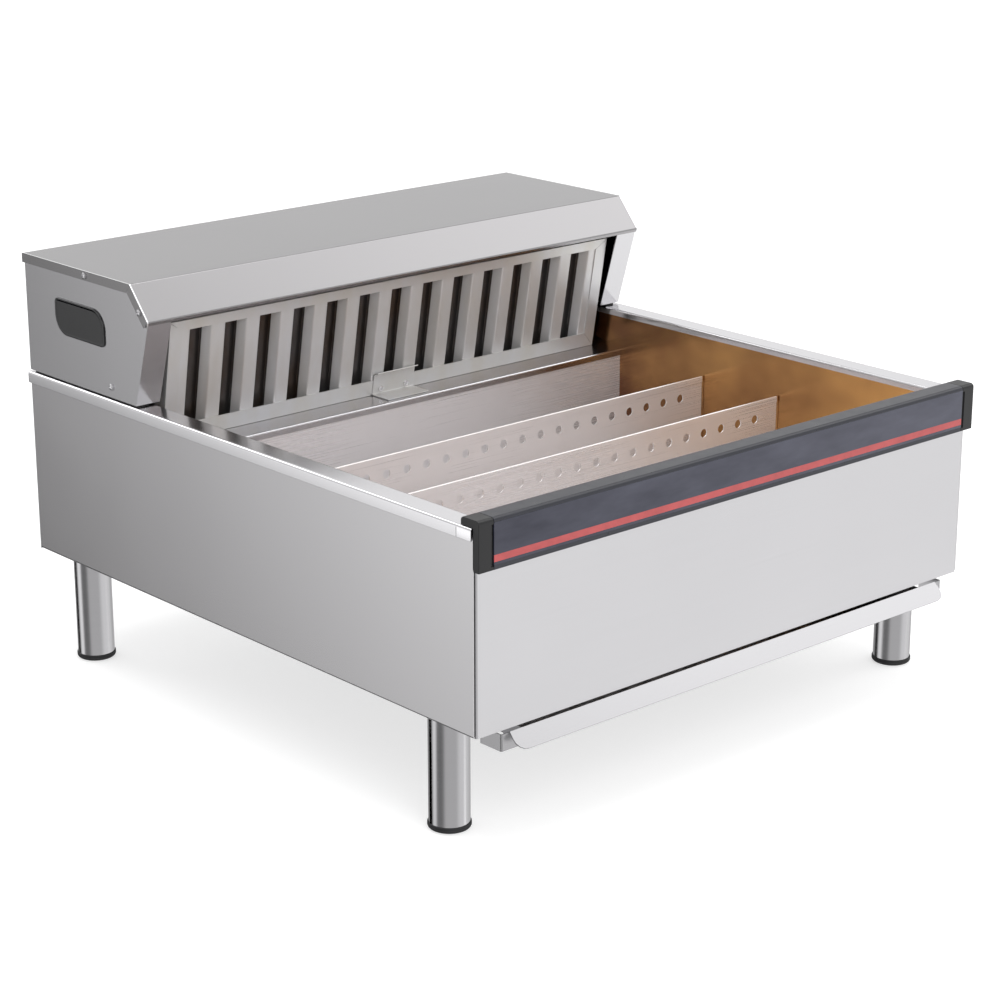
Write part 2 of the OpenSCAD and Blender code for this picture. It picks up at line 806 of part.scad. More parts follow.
module filter_frame() {
  x = filter_w / 2;
  mitre = 0.5;
  color(steel)
  in_filter() difference() {
    box([-x, 0, 0], [x, filter_t, filter_h]);
    box([-x + sheet, sheet, sheet], [x - sheet, filter_t - sheet, filter_h - sheet]);
    box([-x + frame_band, -1, frame_foot], [x - frame_band, 2 * sheet, filter_h - frame_top]);
    box([-x + frame_rear_band, filter_t - 2 * sheet, frame_rear_band],
      [x - frame_rear_band, filter_t + 1, filter_h - frame_rear_band]);
    for (s = [-1, 1]) {
      along_y(-1, sheet) polygon([
        [s * (x - sheet), sheet + mitre], [s * (x - sheet), sheet],
        [s * (x - frame_band - mitre), frame_foot], [s * (x - frame_band - mitre), frame_foot + mitre]]);
      along_y(-1, sheet) polygon([
        [s * (x - sheet), filter_h - sheet], [s * (x - sheet), filter_h - sheet - mitre],
        [s * (x - frame_band - mitre), filter_h - frame_top - mitre],
        [s * (x - frame_band - mitre), filter_h - frame_top]]);
      translate([s * clip_screw_pitch / 2, -1, clip_screw_rise])
        rotate([-90, 0, 0]) cylinder(d = screw_hole_d, h = 2 * sheet + 1);
    }
  }
}

// Front row: channels that open to the rear, with a flat face and slanting sides
module filter_front_baffles() {
  half_face = baffle_face / 2;
  half_rear = (slot_pitch - slot_w) / 2;
  y = 1.5 * sheet;
  color(steel)
  in_filter()
  for (i = [0:slots])
    translate([(i - slots / 2) * slot_pitch, 0, 0])
      along_z(sheet, filter_h - sheet) bent([
        [-half_rear, y + baffle_d], [-half_face, y], [half_face, y], [half_rear, y + baffle_d]]);
}

// Rear row: channels that open to the front, one behind each slot
module filter_rear_baffles() {
  half_floor = slot_w * 0.55;
  half_mouth = slot_w * 0.8;
  y = filter_t - 1.5 * sheet;
  color(galvanised)
  in_filter()
  for (i = [0:slots - 1])
    translate([(i - (slots - 1) / 2) * slot_pitch, 0, 0])
      along_z(sheet, filter_h - sheet) bent([
        [-half_mouth, y - baffle_d + 2], [-half_floor, y], [half_floor, y], [half_mouth, y - baffle_d + 2]]);
}

module filter_clip() {
  tongue_y = y_well_rear + 6;
  foot = [y_filter, z_filter] + (sheet / 2) * (1.2 * filter_up + filter_out);
  head = foot + filter_up * clip_h;
  color(steel)
  difference() {
    along_x(-clip_w / 2, clip_w / 2)
      bent([[tongue_y, foot[1]], foot, head, head + clip_lip * unit([-1, 0.35])]);
    in_filter() for (s = [-1, 1])
      translate([s * clip_screw_pitch / 2, -4, clip_screw_rise])
        rotate([-90, 0, 0]) cylinder(d = screw_hole_d, h = 8);
  }
}

module filter_clip_screws() {
  color(steel)
  in_filter() for (s = [-1, 1])
    translate([s * clip_screw_pitch / 2, -sheet, clip_screw_rise]) rotate([-90, 0, 0]) {
      translate([0, 0, -1.4]) cylinder(d = screw_head_d, h = 1.4);
      translate([0, 0, -eps]) cylinder(d = screw_d, h = 2 * sheet);
    }
}

// Front trim
function trim_outline() = round_corners(
  [[y_trim, z_trim], [y_front, z_trim], [y_front, z_rail], [y_trim + trim_top_d, z_rail],
    [y_trim + trim_top_d, z_trim_top], [y_trim, z_trim_top]],
  [0.6, 0.6, 0.6, 0.6, trim_round, trim_round]);

module trim_extrusion() {
  color(slate)
  difference() {
    along_x(-x_block + fit_gap, x_block - fit_gap) polygon(trim_outline());
    box([-x_block, y_trim - 1, z_insert], [x_block, y_trim + insert_t, z_insert + insert_h]);
  }
}

module trim_block() {
  groove = 3.2;
  color(black)
  difference() {
    along_x(-x_trim, -x_block) polygon(trim_outline());
    box([-x_block - groove, y_trim - 1, z_insert - 1], [-x_block + 1, y_trim + 1.4, z_insert + insert_h - 2]);
  }
}

module trim_left_block() trim_block();
module trim_right_block() to_right() trim_block();

module label_insert() {
  x = x_block - fit_gap;
  color(slate)
  difference() {
    box([-x, y_trim, z_insert], [x, y_trim + insert_t, z_insert + insert_h]);
    box([-x - 1, y_trim - 1, z_insert + stripe_rise],
      [x + 1, y_trim + stripe_t, z_insert + stripe_rise + stripe_h]);
  }
}

module red_stripe() {
  x = x_block - fit_gap;
  color(red)
    box([-x, y_trim, z_insert + stripe_rise], [x, y_trim + stripe_t, z_insert + stripe_rise + stripe_h]);
}

module side_plaque() {
  y = y_back - plaque_back;
  z = z_rail + plaque_rise;
  small = 6;
  large = plaque_h * 0.55;
  color(black)
    along_x(-x_side - plaque_t, -x_side) polygon(round_corners(
      [[y - plaque_w / 2, z - plaque_h / 2], [y + plaque_w / 2, z - plaque_h / 2],
        [y + plaque_w / 2, z + plaque_h / 2], [y - plaque_w / 2, z + plaque_h / 2]],
      [small, large, small, large]));
}

// Legs and feet
module leg(x, y) {
  cap_t = 3;
  stud_top = z_pan_top + leg_plate_t + nut_h + 2 - z_base;
  color(steel)
  translate([x, y, 0]) {
    rotate_extrude($fn = 72) difference() {
      translate([0, foot_h]) square([leg_d / 2, z_base - foot_h]);
      translate([-1, foot_h - 1]) square([leg_d / 2 - leg_wall + 1, z_base - cap_t - foot_h + 1]);
    }
    translate([0, 0, z_base - eps]) cylinder(d = stud_d, h = stud_top);
  }
}

module leg_front_left() leg(-x_leg, y_leg_front);
module leg_front_right() leg(x_leg, y_leg_front);
module leg_rear_left() leg(-x_leg, y_leg_rear);
module leg_rear_right() leg(x_leg, y_leg_rear);

module foot(x, y) {
  plug_h = 14;
  r = foot_d / 2;
  edge = 2;
  plug_r = leg_d / 2 - leg_wall;
  color(black)
  translate([x, y, 0]) rotate_extrude($fn = 72) {
    polygon([[0, 0], [r - edge, 0], [r - edge * 0.3, edge * 0.3], [r, edge],
      [r, foot_h - 1], [r - 1, foot_h], [0, foot_h]]);
    square([plug_r, foot_h + plug_h]);
  }
}

module foot_front_left() foot(-x_leg, y_leg_front);
module foot_front_right() foot(x_leg, y_leg_front);
module foot_rear_left() foot(-x_leg, y_leg_rear);
module foot_rear_right() foot(x_leg, y_leg_rear);

module leg_plates() {
  plate = [34, 60];
  nut_w = 18;
  color(galvanised)
  for (sx = [-1, 1], y = [y_leg_front, y_leg_rear])
    translate([sx * x_leg, y, z_pan_top]) difference() {
      union() {
        translate([-plate[0] / 2, -plate[1] / 2, 0]) cube([plate[0], plate[1], leg_plate_t]);
        cylinder(d = nut_w / cos(30), h = leg_plate_t + nut_h, $fn = 6);
      }
      translate([0, 0, -1]) cylinder(d = stud_d + 2 * stud_gap, h = leg_plate_t + nut_h + 2);
    }
}

// Crumb tray
module crumb_tray() {
  xf = x_tray_front;
  xp = x_pan - sheet / 2;
  y = y_tray + sheet / 2;
  zb = z_tray + sheet / 2;
  zf = z_tray_flange - sheet / 2;
  lip_flare = 2;
  y_join = y_tray + tray_return + 2;
  color(steel) {
    along_z(z_tray, z_tray_top - sheet / 2) bent([
      [-xf + sheet / 2, y_tray + tray_return], [-xf + sheet / 2, y], [xf - sheet / 2, y],
      [xf - sheet / 2, y_tray + tray_return]]);
    along_y(y_join, y_tray_end) bent([
      [-x_tray_flange, zf], [-xp, zf], [-xp, zb], [xp, zb], [xp, zf], [x_tray_flange, zf]]);
    box([-xp, y_tray + sheet / 2, z_tray], [xp, y_join + eps, z_tray + sheet]);
    box([-xp, y_tray_end - sheet, z_tray], [xp, y_tray_end, z_tray_flange - sheet]);
    for (s = [-1, 1])
      box([s * xp - sheet / 2, y_tray + sheet / 2, z_tray],
        [s * xp + sheet / 2, y_join + eps, z_tray_flange - sheet]);
    translate([0, y_tray, z_tray_top - 1.6 * sheet]) rotate([lip_angle, 0, 0])
      linear_extrude(sheet) polygon(round_corners(
        [[lip_w / 2, 1.2 * sheet], [-lip_w / 2, 1.2 * sheet],
          [-lip_w / 2 - lip_flare, -lip_len], [lip_w / 2 + lip_flare, -lip_len]],
        [0.5, 0.5, lip_corner, lip_corner]));
  }
}

module tray_runner() {
  x = -x_run + sheet / 2;
  z_leg = z_tray_flange - sheet - fit_gap - sheet / 2;
  top_flange = 13;
  foot_flange = 9;
  front_set = 6;
  color(galvanised)
    along_y(y_tray + tray_return + front_set, y_well_rear) bent([
      [x + top_flange, z_base + sheet / 2], [x, z_base + sheet / 2],
      [x, z_leg], [x + foot_flange, z_leg]], bend_r * 0.6);
}

module tray_runners() {
  tray_runner();
  to_right() tray_runner();
}

// Air system, behind and below the well
scroll_start = 205;
scroll_sweep = 295;
function scroll_outline(inset, mouth) =
  let (r0 = wheel_d / 2 + 8, y_neck = y_well_rear + duct_d - mouth)
  concat(
    [for (a = [scroll_start:-5:scroll_start - scroll_sweep])
      let (r = r0 + (scroll_start - a) / scroll_sweep * (scroll_r - r0) - inset)
      [y_blower + r * cos(a), z_blower + r * sin(a)]],
    [[y_neck, z_pan_top + inset], [y_neck, z_pan_top + neck_h - inset]]);

module at_blower(x) translate([x, y_blower, z_blower]) rotate([0, 90, 0]) children();

module blower_housing() {
  half = scroll_w / 2;
  inlet_rim = 13;
  color(galvanised)
  difference() {
    along_x(x_blower - half, x_blower + half) polygon(scroll_outline(0, 0));
    along_x(x_blower - half + sheet, x_blower + half - sheet) polygon(scroll_outline(sheet, 1));
    at_blower(x_blower - half - 1) cylinder(d = wheel_d - 2 * inlet_rim, h = half);
    at_blower(x_blower) cylinder(d = shaft_d + 8, h = half + 1);
  }
}

x_wheel = x_blower - wheel_w / 2;
x_motor = x_blower + scroll_w / 2 + 6;
shaft_grip = 30;

module blower_wheel() {
  plate_t = 1.5;
  blade_l = 9;
  blade_t = 1;
  hub_d = 24;
  hub_l = 24;
  color(galvanised) {
    at_blower(x_wheel) difference() {
      cylinder(d = wheel_d, h = plate_t);
      translate([0, 0, -1]) cylinder(d = wheel_d - 2 * blade_l - 2, h = plate_t + 2);
    }
    at_blower(x_wheel + wheel_w - plate_t) cylinder(d = wheel_d, h = plate_t);
    at_blower(x_wheel) for (i = [0:blades - 1])
      rotate(i * 360 / blades) translate([wheel_d / 2 - blade_l - 0.5, 0, plate_t / 2])
        cube([blade_l, blade_t, wheel_w - plate_t]);
    at_blower(x_wheel + wheel_w - hub_l) cylinder(d = hub_d, h = hub_l);
    at_blower(x_wheel + wheel_w - eps) cylinder(d = shaft_d, h = x_motor + shaft_grip - x_wheel - wheel_w);
  }
}

module blower_motor() {
  bell_l = 12;
  color(steel)
  difference() {
    union() {
      at_blower(x_motor + bell_l) cylinder(d = motor_d, h = motor_l - 2 * bell_l);
      at_blower(x_motor) cylinder(d = motor_d - 8, h = motor_l);
    }
    at_blower(x_motor - 1) cylinder(d = shaft_d + 2 * shaft_gap, h = shaft_grip + 4);
  }
}

module motor_bracket() {
  base_t = 2;
  saddle_t = 3;
  half_w = 46;
  base_set = 14;
  saddle_set = 18;
  saddle_drop = 16;
  color(galvanised) {
    box([x_motor + base_set, y_blower - half_w, z_pan_top],
      [x_motor + motor_l - base_set, y_blower + half_w, z_pan_top + base_t]);
    for (x = [x_motor + saddle_set, x_motor + motor_l - saddle_set - saddle_t])
      difference() {
        box([x, y_blower - half_w, z_pan_top], [x + saddle_t, y_blower + half_w, z_blower - saddle_drop]);
        at_blower(x - 1) cylinder(d = motor_d + 2 * shaft_gap, h = saddle_t + 2);
      }
  }
}

z_element = z_pan_top + duct_h / 2;
function y_element(row) = y_well_rear + sheet + 12 + row * element_pitch;

module air_duct() {
  x = duct_w / 2;
  y0 = y_well_rear + sheet;
  y1 = y_well_rear + duct_d;
  half = scroll_w / 2 - sheet;
  color(galvanised)
  difference() {
    box([-x, y0, z_pan_top], [x, y1, z_pan_top + duct_h]);
    box([-x + sheet, y0 - 1, z_pan_top + sheet], [x - sheet, y1 - sheet, z_pan_top + duct_h - sheet]);
    box([x_blower - half, y1 - 2 * sheet, z_pan_top + sheet],
      [x_blower + half, y1 + 1, z_pan_top + neck_h - sheet]);
    for (row = [0, element_rows - 1])
      translate([x - 2 * sheet, y_element(row), z_element]) rotate([0, 90, 0])
        cylinder(d = element_d + 2 * bracket_hole_gap, h = 4 * sheet);
  }
}

module heating_element() {
  half = element_l / 2;
  end_out = 12;
  color(steel) {
    for (row = [0:element_rows - 1]) {
      long = row == 0 || row == element_rows - 1;
      translate([-half, y_element(row), z_element]) rotate([0, 90, 0])
        cylinder(d = element_d, h = long ? half + duct_w / 2 + end_out : element_l);
    }
    for (row = [0:element_rows - 2])
      translate([row % 2 == 0 ? -half : half, y_element(row) + element_pitch / 2, z_element])
        rotate([0, 0, row % 2 == 0 ? 90 : -90])
          rotate_extrude(angle = 180) translate([element_pitch / 2, 0]) circle(d = element_d);
    for (row = [0, element_rows - 1])
      translate([duct_w / 2 + end_out - eps, y_element(row), z_element]) rotate([0, 90, 0])
        cylinder(d = element_d / 2, h = 8);
  }
}

module element_brackets() {
  bracket_t = 1.5;
  bracket_place = 110;
  color(galvanised)
  for (x = [-bracket_place, bracket_place])
    difference() {
      box([x, y_element(0) - 8, z_pan_top + sheet],
        [x + bracket_t, y_element(element_rows - 1) + 8, z_element + 9]);
      for (row = [0:element_rows - 1])
        translate([x - 1, y_element(row), z_element]) rotate([0, 90, 0])
          cylinder(d = element_d + 2 * bracket_hole_gap, h = bracket_t + 2);
    }
}

// Controls on the back
module at_rear(x, y, z) translate([x, y, z]) rotate([-90, 0, 0]) children();

body_wall = 1.2;
rocker_gap = 0.3;
pin_d = 3;
bush_d = 10;
bush_gap = 0.2;
spindle_in = 12;
x_rocker = x_controls + rocker_dx;
x_knob = x_controls + knob_dx;
y_plate = y_back + sheet;
y_pivot = y_plate - 2;

module control_plate() {
  wx = rocker_w / 2 + rocker_gap + body_wall;
  wz = rocker_l / 2 + rocker_gap + body_wall;
  color(steel)
  difference() {
    box([x_controls - plate_w / 2, y_back, z_controls - plate_h / 2],
      [x_controls + plate_w / 2, y_plate, z_controls + plate_h / 2]);
    box([x_rocker - wx, y_back - 1, z_controls - wz], [x_rocker + wx, y_plate + 1, z_controls + wz]);
    at_rear(x_knob, y_back - 1, z_controls) cylinder(d = bush_d + 2 * bush_gap, h = sheet + 2);
    for (p = plate_screw_places)
      at_rear(p[0], y_back - 1, p[1]) cylinder(d = screw_hole_d, h = sheet + 2);
  }
}

module rocker_bezel() {
  ix = rocker_w / 2 + rocker_gap;
  iz = rocker_l / 2 + rocker_gap;
  deep = rocker_deep + 6;
  color(black)
  difference() {
    union() {
      box([x_rocker - ix - bezel_w, y_plate, z_controls - iz - bezel_w],
        [x_rocker + ix + bezel_w, y_plate + bezel_t, z_controls + iz + bezel_w]);
      box([x_rocker - ix - body_wall, y_plate - deep, z_controls - iz - body_wall],
        [x_rocker + ix + body_wall, y_plate + eps, z_controls + iz + body_wall]);
    }
    box([x_rocker - ix, y_plate - deep + 2, z_controls - iz],
      [x_rocker + ix, y_plate + bezel_t + 1, z_controls + iz]);
    translate([x_rocker - ix - 0.9, y_pivot, z_controls]) rotate([0, 90, 0])
      cylinder(d = pin_d + 2 * shaft_gap, h = 2 * ix + 1.8);
  }
}

module power_rocker() {
  r = rocker_l / 2;
  end_out = 5.6;
  mid_out = 4;
  color(red)
    along_x(x_rocker - rocker_w / 2, x_rocker + rocker_w / 2)
      translate([y_pivot, z_controls]) rotate(-rocker_tilt) intersection() {
        circle(r = r, $fn = 72);
        polygon([[-rocker_deep, -r], [end_out, -r], [mid_out, 0], [end_out, r], [-rocker_deep, r]]);
      }
  color(red)
    translate([x_rocker - rocker_w / 2 - 1, y_pivot, z_controls]) rotate([0, 90, 0])
      cylinder(d = pin_d, h = rocker_w + 2);
}

module thermostat() {
  body = 44;
  body_l = 30;
  bush_l = 5;
  nut_w = 14;
  nut_t = 2.5;
  color(brass)
  difference() {
    union() {
      box([x_knob - body / 2, y_back - body_l, z_controls - body / 2],
        [x_knob + body / 2, y_back, z_controls + body / 2]);
      at_rear(x_knob, y_back - eps, z_controls) cylinder(d = bush_d, h = sheet + bush_l);
      at_rear(x_knob, y_plate, z_controls) cylinder(d = nut_w / cos(30), h = nut_t, $fn = 6);
    }
    at_rear(x_knob, y_back - spindle_in - 2, z_controls)
      cylinder(d = spindle_d + 2 * shaft_gap, h = spindle_in + 2 + sheet + bush_l + 1);
  }
}

module thermostat_knob() {
  y0 = y_plate + knob_gap;
  flutes = 18;
  flute_r = 1.6;
  hollow_d = 22;
  hollow_h = 5;
  grip = 6;
  mark_w = 1.6;
  mark_h = 0.8;
  color(black) {
    difference() {
      at_rear(x_knob, y0, z_controls) cylinder(d = knob_d, h = knob_h, $fn = 72);
      at_rear(x_knob, y0 - 1, z_controls) cylinder(d = hollow_d, h = hollow_h + 1);
      for (i = [0:flutes - 1])
        at_rear(x_knob, y0 + 3, z_controls) rotate(i * 360 / flutes)
          translate([knob_d / 2 + flute_r * 0.4, 0, 0]) cylinder(r = flute_r, h = knob_h, $fn = 16);
      box([x_knob - mark_w / 2, y0 + knob_h - mark_h, z_controls + 4],
        [x_knob + mark_w / 2, y0 + knob_h + 1, z_controls + knob_d / 2 - 3]);
    }
    at_rear(x_knob, y_back - spindle_in, z_controls)
      cylinder(d = spindle_d, h = y0 - y_back + spindle_in + grip);
  }
}

module terminal_block() {
  block = [54, 24, 20];
  x = x_inlet - 70;
  y = y_back - 90;
  color(black)
  difference() {
    translate([x, y, z_pan_top]) cube(block);
    for (i = [0:2])
      translate([x + 9 + 18 * i, y + block[1] / 2, z_pan_top + 8]) cylinder(d = 7, h = block[2]);
  }
}

module cable_inlet() {
  flange_t = 3;
  nut_w = 25;
  nut_t = 5;
  color(black)
  difference() {
    union() {
      at_rear(x_inlet, y_back - inlet_in, z_inlet) cylinder(d = inlet_d, h = inlet_in + inlet_out);
      at_rear(x_inlet, y_back, z_inlet) cylinder(d = nut_w / cos(30), h = flange_t, $fn = 6);
      at_rear(x_inlet, y_back - sheet - nut_t, z_inlet) cylinder(d = nut_w / cos(30), h = nut_t, $fn = 6);
    }
    at_rear(x_inlet, y_back - inlet_in - 1, z_inlet) cylinder(d = inlet_bore, h = inlet_in + inlet_out + 2);
  }
}

module rear_screws() {
  color(steel) {
    for (p = concat(back_screw_places, hood_back_screw_places)) screw_along_y(p[0], y_back, p[1]);
    for (p = plate_screw_places) screw_along_y(p[0], y_plate, p[1]);
  }
}

left_side_panel();
right_side_panel();
front_panel();
back_panel();
base_pan();
corner_posts();
left_rail_cap();
right_rail_cap();
well_left_wall();
well_right_wall();
well_front_wall();
well_rear_wall();
rear_ledge();
hood_left_side();
hood_right_side();
hood_cover();
hood_back();
hood_gaskets();
hood_screws();
filter_frame();
filter_front_baffles();
filter_rear_baffles();
filter_clip();
filter_clip_screws();
food_rack();
rear_divider();
front_divider();
trim_extrusion();
trim_left_block();
trim_right_block();
label_insert();
red_stripe();
side_plaque();
leg_front_left();
leg_front_right();
leg_rear_left();
leg_rear_right();
foot_front_left();
foot_front_right();
foot_rear_left();
foot_rear_right();
leg_plates();
crumb_tray();
tray_runners();
blower_housing();
blower_wheel();
blower_motor();
motor_bracket();
air_duct();
heating_element();
element_brackets();
control_plate();
power_rocker();
rocker_bezel();
thermostat();
thermostat_knob();
terminal_block();
cable_inlet();
rear_screws();
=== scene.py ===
"""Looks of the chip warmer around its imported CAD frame: stainless cabinet, baffle filter, trim,
tray and controls, with a studio round it. Metres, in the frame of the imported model."""
import json
import math

import bmesh
import bpy
from mathutils import Matrix, Vector


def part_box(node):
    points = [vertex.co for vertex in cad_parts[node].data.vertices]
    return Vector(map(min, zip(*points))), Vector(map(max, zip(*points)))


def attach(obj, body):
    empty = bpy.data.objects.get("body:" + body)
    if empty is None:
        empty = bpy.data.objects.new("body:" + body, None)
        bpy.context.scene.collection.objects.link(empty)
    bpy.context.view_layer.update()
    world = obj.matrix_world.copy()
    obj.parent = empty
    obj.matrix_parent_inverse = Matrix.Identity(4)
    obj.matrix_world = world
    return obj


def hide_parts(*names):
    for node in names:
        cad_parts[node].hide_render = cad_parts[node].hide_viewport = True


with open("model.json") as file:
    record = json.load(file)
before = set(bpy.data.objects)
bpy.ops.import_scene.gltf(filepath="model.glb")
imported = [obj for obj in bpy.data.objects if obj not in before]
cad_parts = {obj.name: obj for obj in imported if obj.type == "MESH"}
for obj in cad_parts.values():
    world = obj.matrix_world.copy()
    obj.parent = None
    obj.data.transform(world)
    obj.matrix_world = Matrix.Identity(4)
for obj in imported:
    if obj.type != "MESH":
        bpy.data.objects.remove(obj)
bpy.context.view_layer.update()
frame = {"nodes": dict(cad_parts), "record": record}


# Legs: four lengths of satin stainless tube, closed at the top by a welded disc.
# Their brush marks run round the tube, and the mill's seam is polished away.
def new_finish(name, colour, roughness, metallic=0.0, **sockets):
    """A material whose shader holds the constant values of one finish."""
    material = bpy.data.materials.new(name)
    material.use_nodes = True
    shader = material.node_tree.nodes["Principled BSDF"]
    shader.inputs["Base Color"].default_value = (*colour, 1)
    shader.inputs["Roughness"].default_value = roughness
    shader.inputs["Metallic"].default_value = metallic
    for socket, value in sockets.items():
        shader.inputs[socket.replace("_", " ")].default_value = value
    return material, shader


def node(material, kind, inputs=(), **settings):
    """Adds one node to a material; inputs maps its sockets to values or to other nodes' outputs."""
    made = material.node_tree.nodes.new("ShaderNode" + kind)
    for key, value in settings.items():
        setattr(made, key, value)
    for socket, value in dict(inputs).items():
        if isinstance(value, bpy.types.NodeSocket):
            material.node_tree.links.new(value, made.inputs[socket])
        else:
            made.inputs[socket].default_value = value
    return made


def grain(material, per_metre, detail=3.0, roughness=0.6):
    """Noise stretched into marks: per_metre gives how often it changes along X, Y and Z."""
    place = node(material, "TexCoord").outputs["Object"]
    stretched = node(material, "Mapping", {"Vector": place, "Scale": per_metre}).outputs["Vector"]
    return node(material, "TexNoise", {
        "Vector": stretched, "Scale": 1.0, "Detail": detail, "Roughness": roughness}).outputs["Fac"]


def spread(material, factor, low, high, start=0.3, end=0.7):
    """Moves start..end, by default a noise's middle range, to low..high."""
    return node(material, "MapRange", {
        "Value": factor, "From Min": start, "From Max": end, "To Min": low, "To Max": high}).outputs["Result"]


def average(material, first, second):
    """The mean of two factors."""
    both = node(material, "Math", {0: first, 1: second}, operation="ADD").outputs["Value"]
    return node(material, "Math", {0: both, 1: 0.5}, operation="MULTIPLY").outputs["Value"]


def tint(material, factor, dark, light):
    """A colour between dark and light for a noise's middle range."""
    ramp = node(material, "ValToRGB", {"Fac": factor})
    ramp.color_ramp.elements[0].position = 0.3
    ramp.color_ramp.elements[0].color = (*dark, 1)
    ramp.color_ramp.elements[1].position = 0.7
    ramp.color_ramp.elements[1].color = (*light, 1)
    return ramp.outputs["Color"]


def relief(material, shader, height, depth):
    """Bumps the surface by a noise; depth is in metres."""
    bump = node(material, "Bump", {"Height": height, "Strength": 1.0, "Distance": depth})
    material.node_tree.links.new(bump.outputs["Normal"], shader.inputs["Normal"])


def brushed_steel(name, tone, marks, roughness=0.26, warmth=0.0, contrast=0.025,
                  scratch_depth=0.0000004, gloss=1.0):
    """Brushed stainless sheet. marks says how many brush marks there are to the metre on each axis;
    gloss falls below 1 where washing has dulled the sheet."""
    material, shader = new_finish(name, (tone, tone, tone), roughness, metallic=gloss)
    link = material.node_tree.links.new
    brush = grain(material, marks)
    clouds = grain(material, (4, 4, 4), detail=2.0)
    half = average(material, brush, clouds)
    dark, light = ((tone * shade + warmth, tone * shade * 0.99, tone * shade * 1.015 - warmth)
                   for shade in (1 - contrast, 1 + contrast))
    link(tint(material, half, dark, light), shader.inputs["Base Color"])
    link(spread(material, half, roughness - contrast, roughness + contrast), shader.inputs["Roughness"])
    relief(material, shader, brush, scratch_depth)
    return material


def dress(material, *names):
    """Gives CAD nodes a finish."""
    for name in names:
        mesh = frame["nodes"][name].data
        mesh.materials.clear()
        mesh.materials.append(material)


LEGS = ["leg_front_left", "leg_front_right", "leg_rear_left", "leg_rear_right"]
dress(brushed_steel("satin_tube", 0.57, (12, 12, 1500), roughness=0.22, contrast=0.05), *LEGS)


# Feet: black rubber feet with a plug that is pressed into the tube.
# They are moulded, with a rounded lower edge and a fine stipple.
def rubber(name, colour=(0.009, 0.009, 0.010)):
    """Black moulded rubber with a dusty, stippled surface."""
    material, shader = new_finish(name, colour, 0.62)
    stipple = grain(material, (2600, 2600, 2600), detail=1.0)
    dust = grain(material, (40, 40, 40), detail=3.0)
    bright = tuple(c * 1.9 for c in colour)
    material.node_tree.links.new(tint(material, dust, colour, bright), shader.inputs["Base Color"])
    relief(material, shader, stipple, 0.00006)
    return material


def made_piece(name, shape, material):
    """Turns a finished bmesh into a piece of one material."""
    mesh = bpy.data.meshes.new(name)
    shape.to_mesh(mesh)
    shape.free()
    mesh.materials.append(material)
    piece = bpy.data.objects.new(name, mesh)
    bpy.context.collection.objects.link(piece)
    return piece


def turned_piece(name, outline, middle, material, steps=96):
    """A piece turned about an upright axis; outline runs from its foot to its top as radius, height."""
    shape = bmesh.new()
    rings = []
    for radius, height in outline:
        rings.append([shape.verts.new((middle.x + radius * math.cos(math.tau * k / steps),
                                       middle.y + radius * math.sin(math.tau * k / steps), height))
                      for k in range(steps)])
    for low, high in zip(rings, rings[1:]):
        for k in range(steps):
            shape.faces.new((low[k], low[(k + 1) % steps], high[(k + 1) % steps], high[k]))
    shape.faces.new(list(reversed(rings[0])))
    shape.faces.new(rings[-1])
    for face in shape.faces:
        face.smooth = len(face.verts) == 4
    return made_piece(name, shape, material)


def fit(piece, slot, *nodes, body="cabinet"):
    """Puts a finished piece in the place of its CAD nodes."""
    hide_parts(*nodes)
    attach(piece, body)


def corners_of(name):
    """The lowest and the highest corner of a CAD node's box."""
    return tuple(Vector(corner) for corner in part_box(name))


black_rubber = rubber("foot_rubber")
FOOT_RADIUS, FOOT_HEIGHT = 0.02175, 0.007
FOOT_OUTLINE = [
    (0.0155, 0.0), (0.0175, 0.0), (0.0192, 0.0003), (0.0205, 0.0010), (0.0213, 0.0019),
    (FOOT_RADIUS, 0.0030), (FOOT_RADIUS, 0.0042), (0.0212, 0.0045), (0.0212, 0.0050),
    (FOOT_RADIUS, 0.0053), (FOOT_RADIUS, 0.0061), (0.0214, 0.0067), (0.0208, FOOT_HEIGHT)]
for corner in ("front_left", "front_right", "rear_left", "rear_right"):
    low, high = corners_of("foot_" + corner)
    fit(turned_piece("rubber_foot_" + corner, FOOT_OUTLINE, (low + high) / 2, black_rubber),
        "black_rubber", "foot_" + corner)


# Shell: folded stainless panels, the front brushed from side to side and the sides with a fine
# grain. The back panel, base pan, posts, runners and leg plates are galvanised sheet, which shows
# zinc spangle.
WELD, FLAT, SHARP = 0.00001, math.radians(0.6), math.radians(35)


def eased(name, material, edge=0.0003):
    """The sheet or moulding of a CAD node with its edges broken, as deburring leaves them."""
    shape = bmesh.new()
    shape.from_mesh(frame["nodes"][name].data)
    bmesh.ops.remove_doubles(shape, verts=shape.verts, dist=WELD)
    bmesh.ops.dissolve_limit(shape, angle_limit=FLAT, verts=shape.verts, edges=shape.edges)
    sharp = [line for line in shape.edges if line.calc_face_angle(0) > SHARP]
    bmesh.ops.bevel(shape, geom=sharp, offset=edge, offset_type="OFFSET", segments=2,
                    profile=0.5, affect="EDGES", clamp_overlap=True)
    for face in shape.faces:
        face.smooth = True
    piece = made_piece(name + "_finished", shape, material)
    flats = piece.modifiers.new("true_flats", "WEIGHTED_NORMAL")
    flats.weight, flats.keep_sharp = 100, False
    record = frame["record"]
    body = next(body for body, nodes in record["behaviour"]["bodies"].items() if name in nodes)
    slot = next(part["material_slot"] for part in record["subparts"] if part["node"] == name)
    fit(piece, slot, name, body=body)


side_steel = brushed_steel("side_panel_steel", 0.605, (5, 2500, 2500), roughness=0.2, warmth=0.003)
eased("left_side_panel", side_steel)
eased("right_side_panel", side_steel)
eased("front_panel", brushed_steel("front_panel_steel", 0.665, (5, 2500, 2500), roughness=0.24))


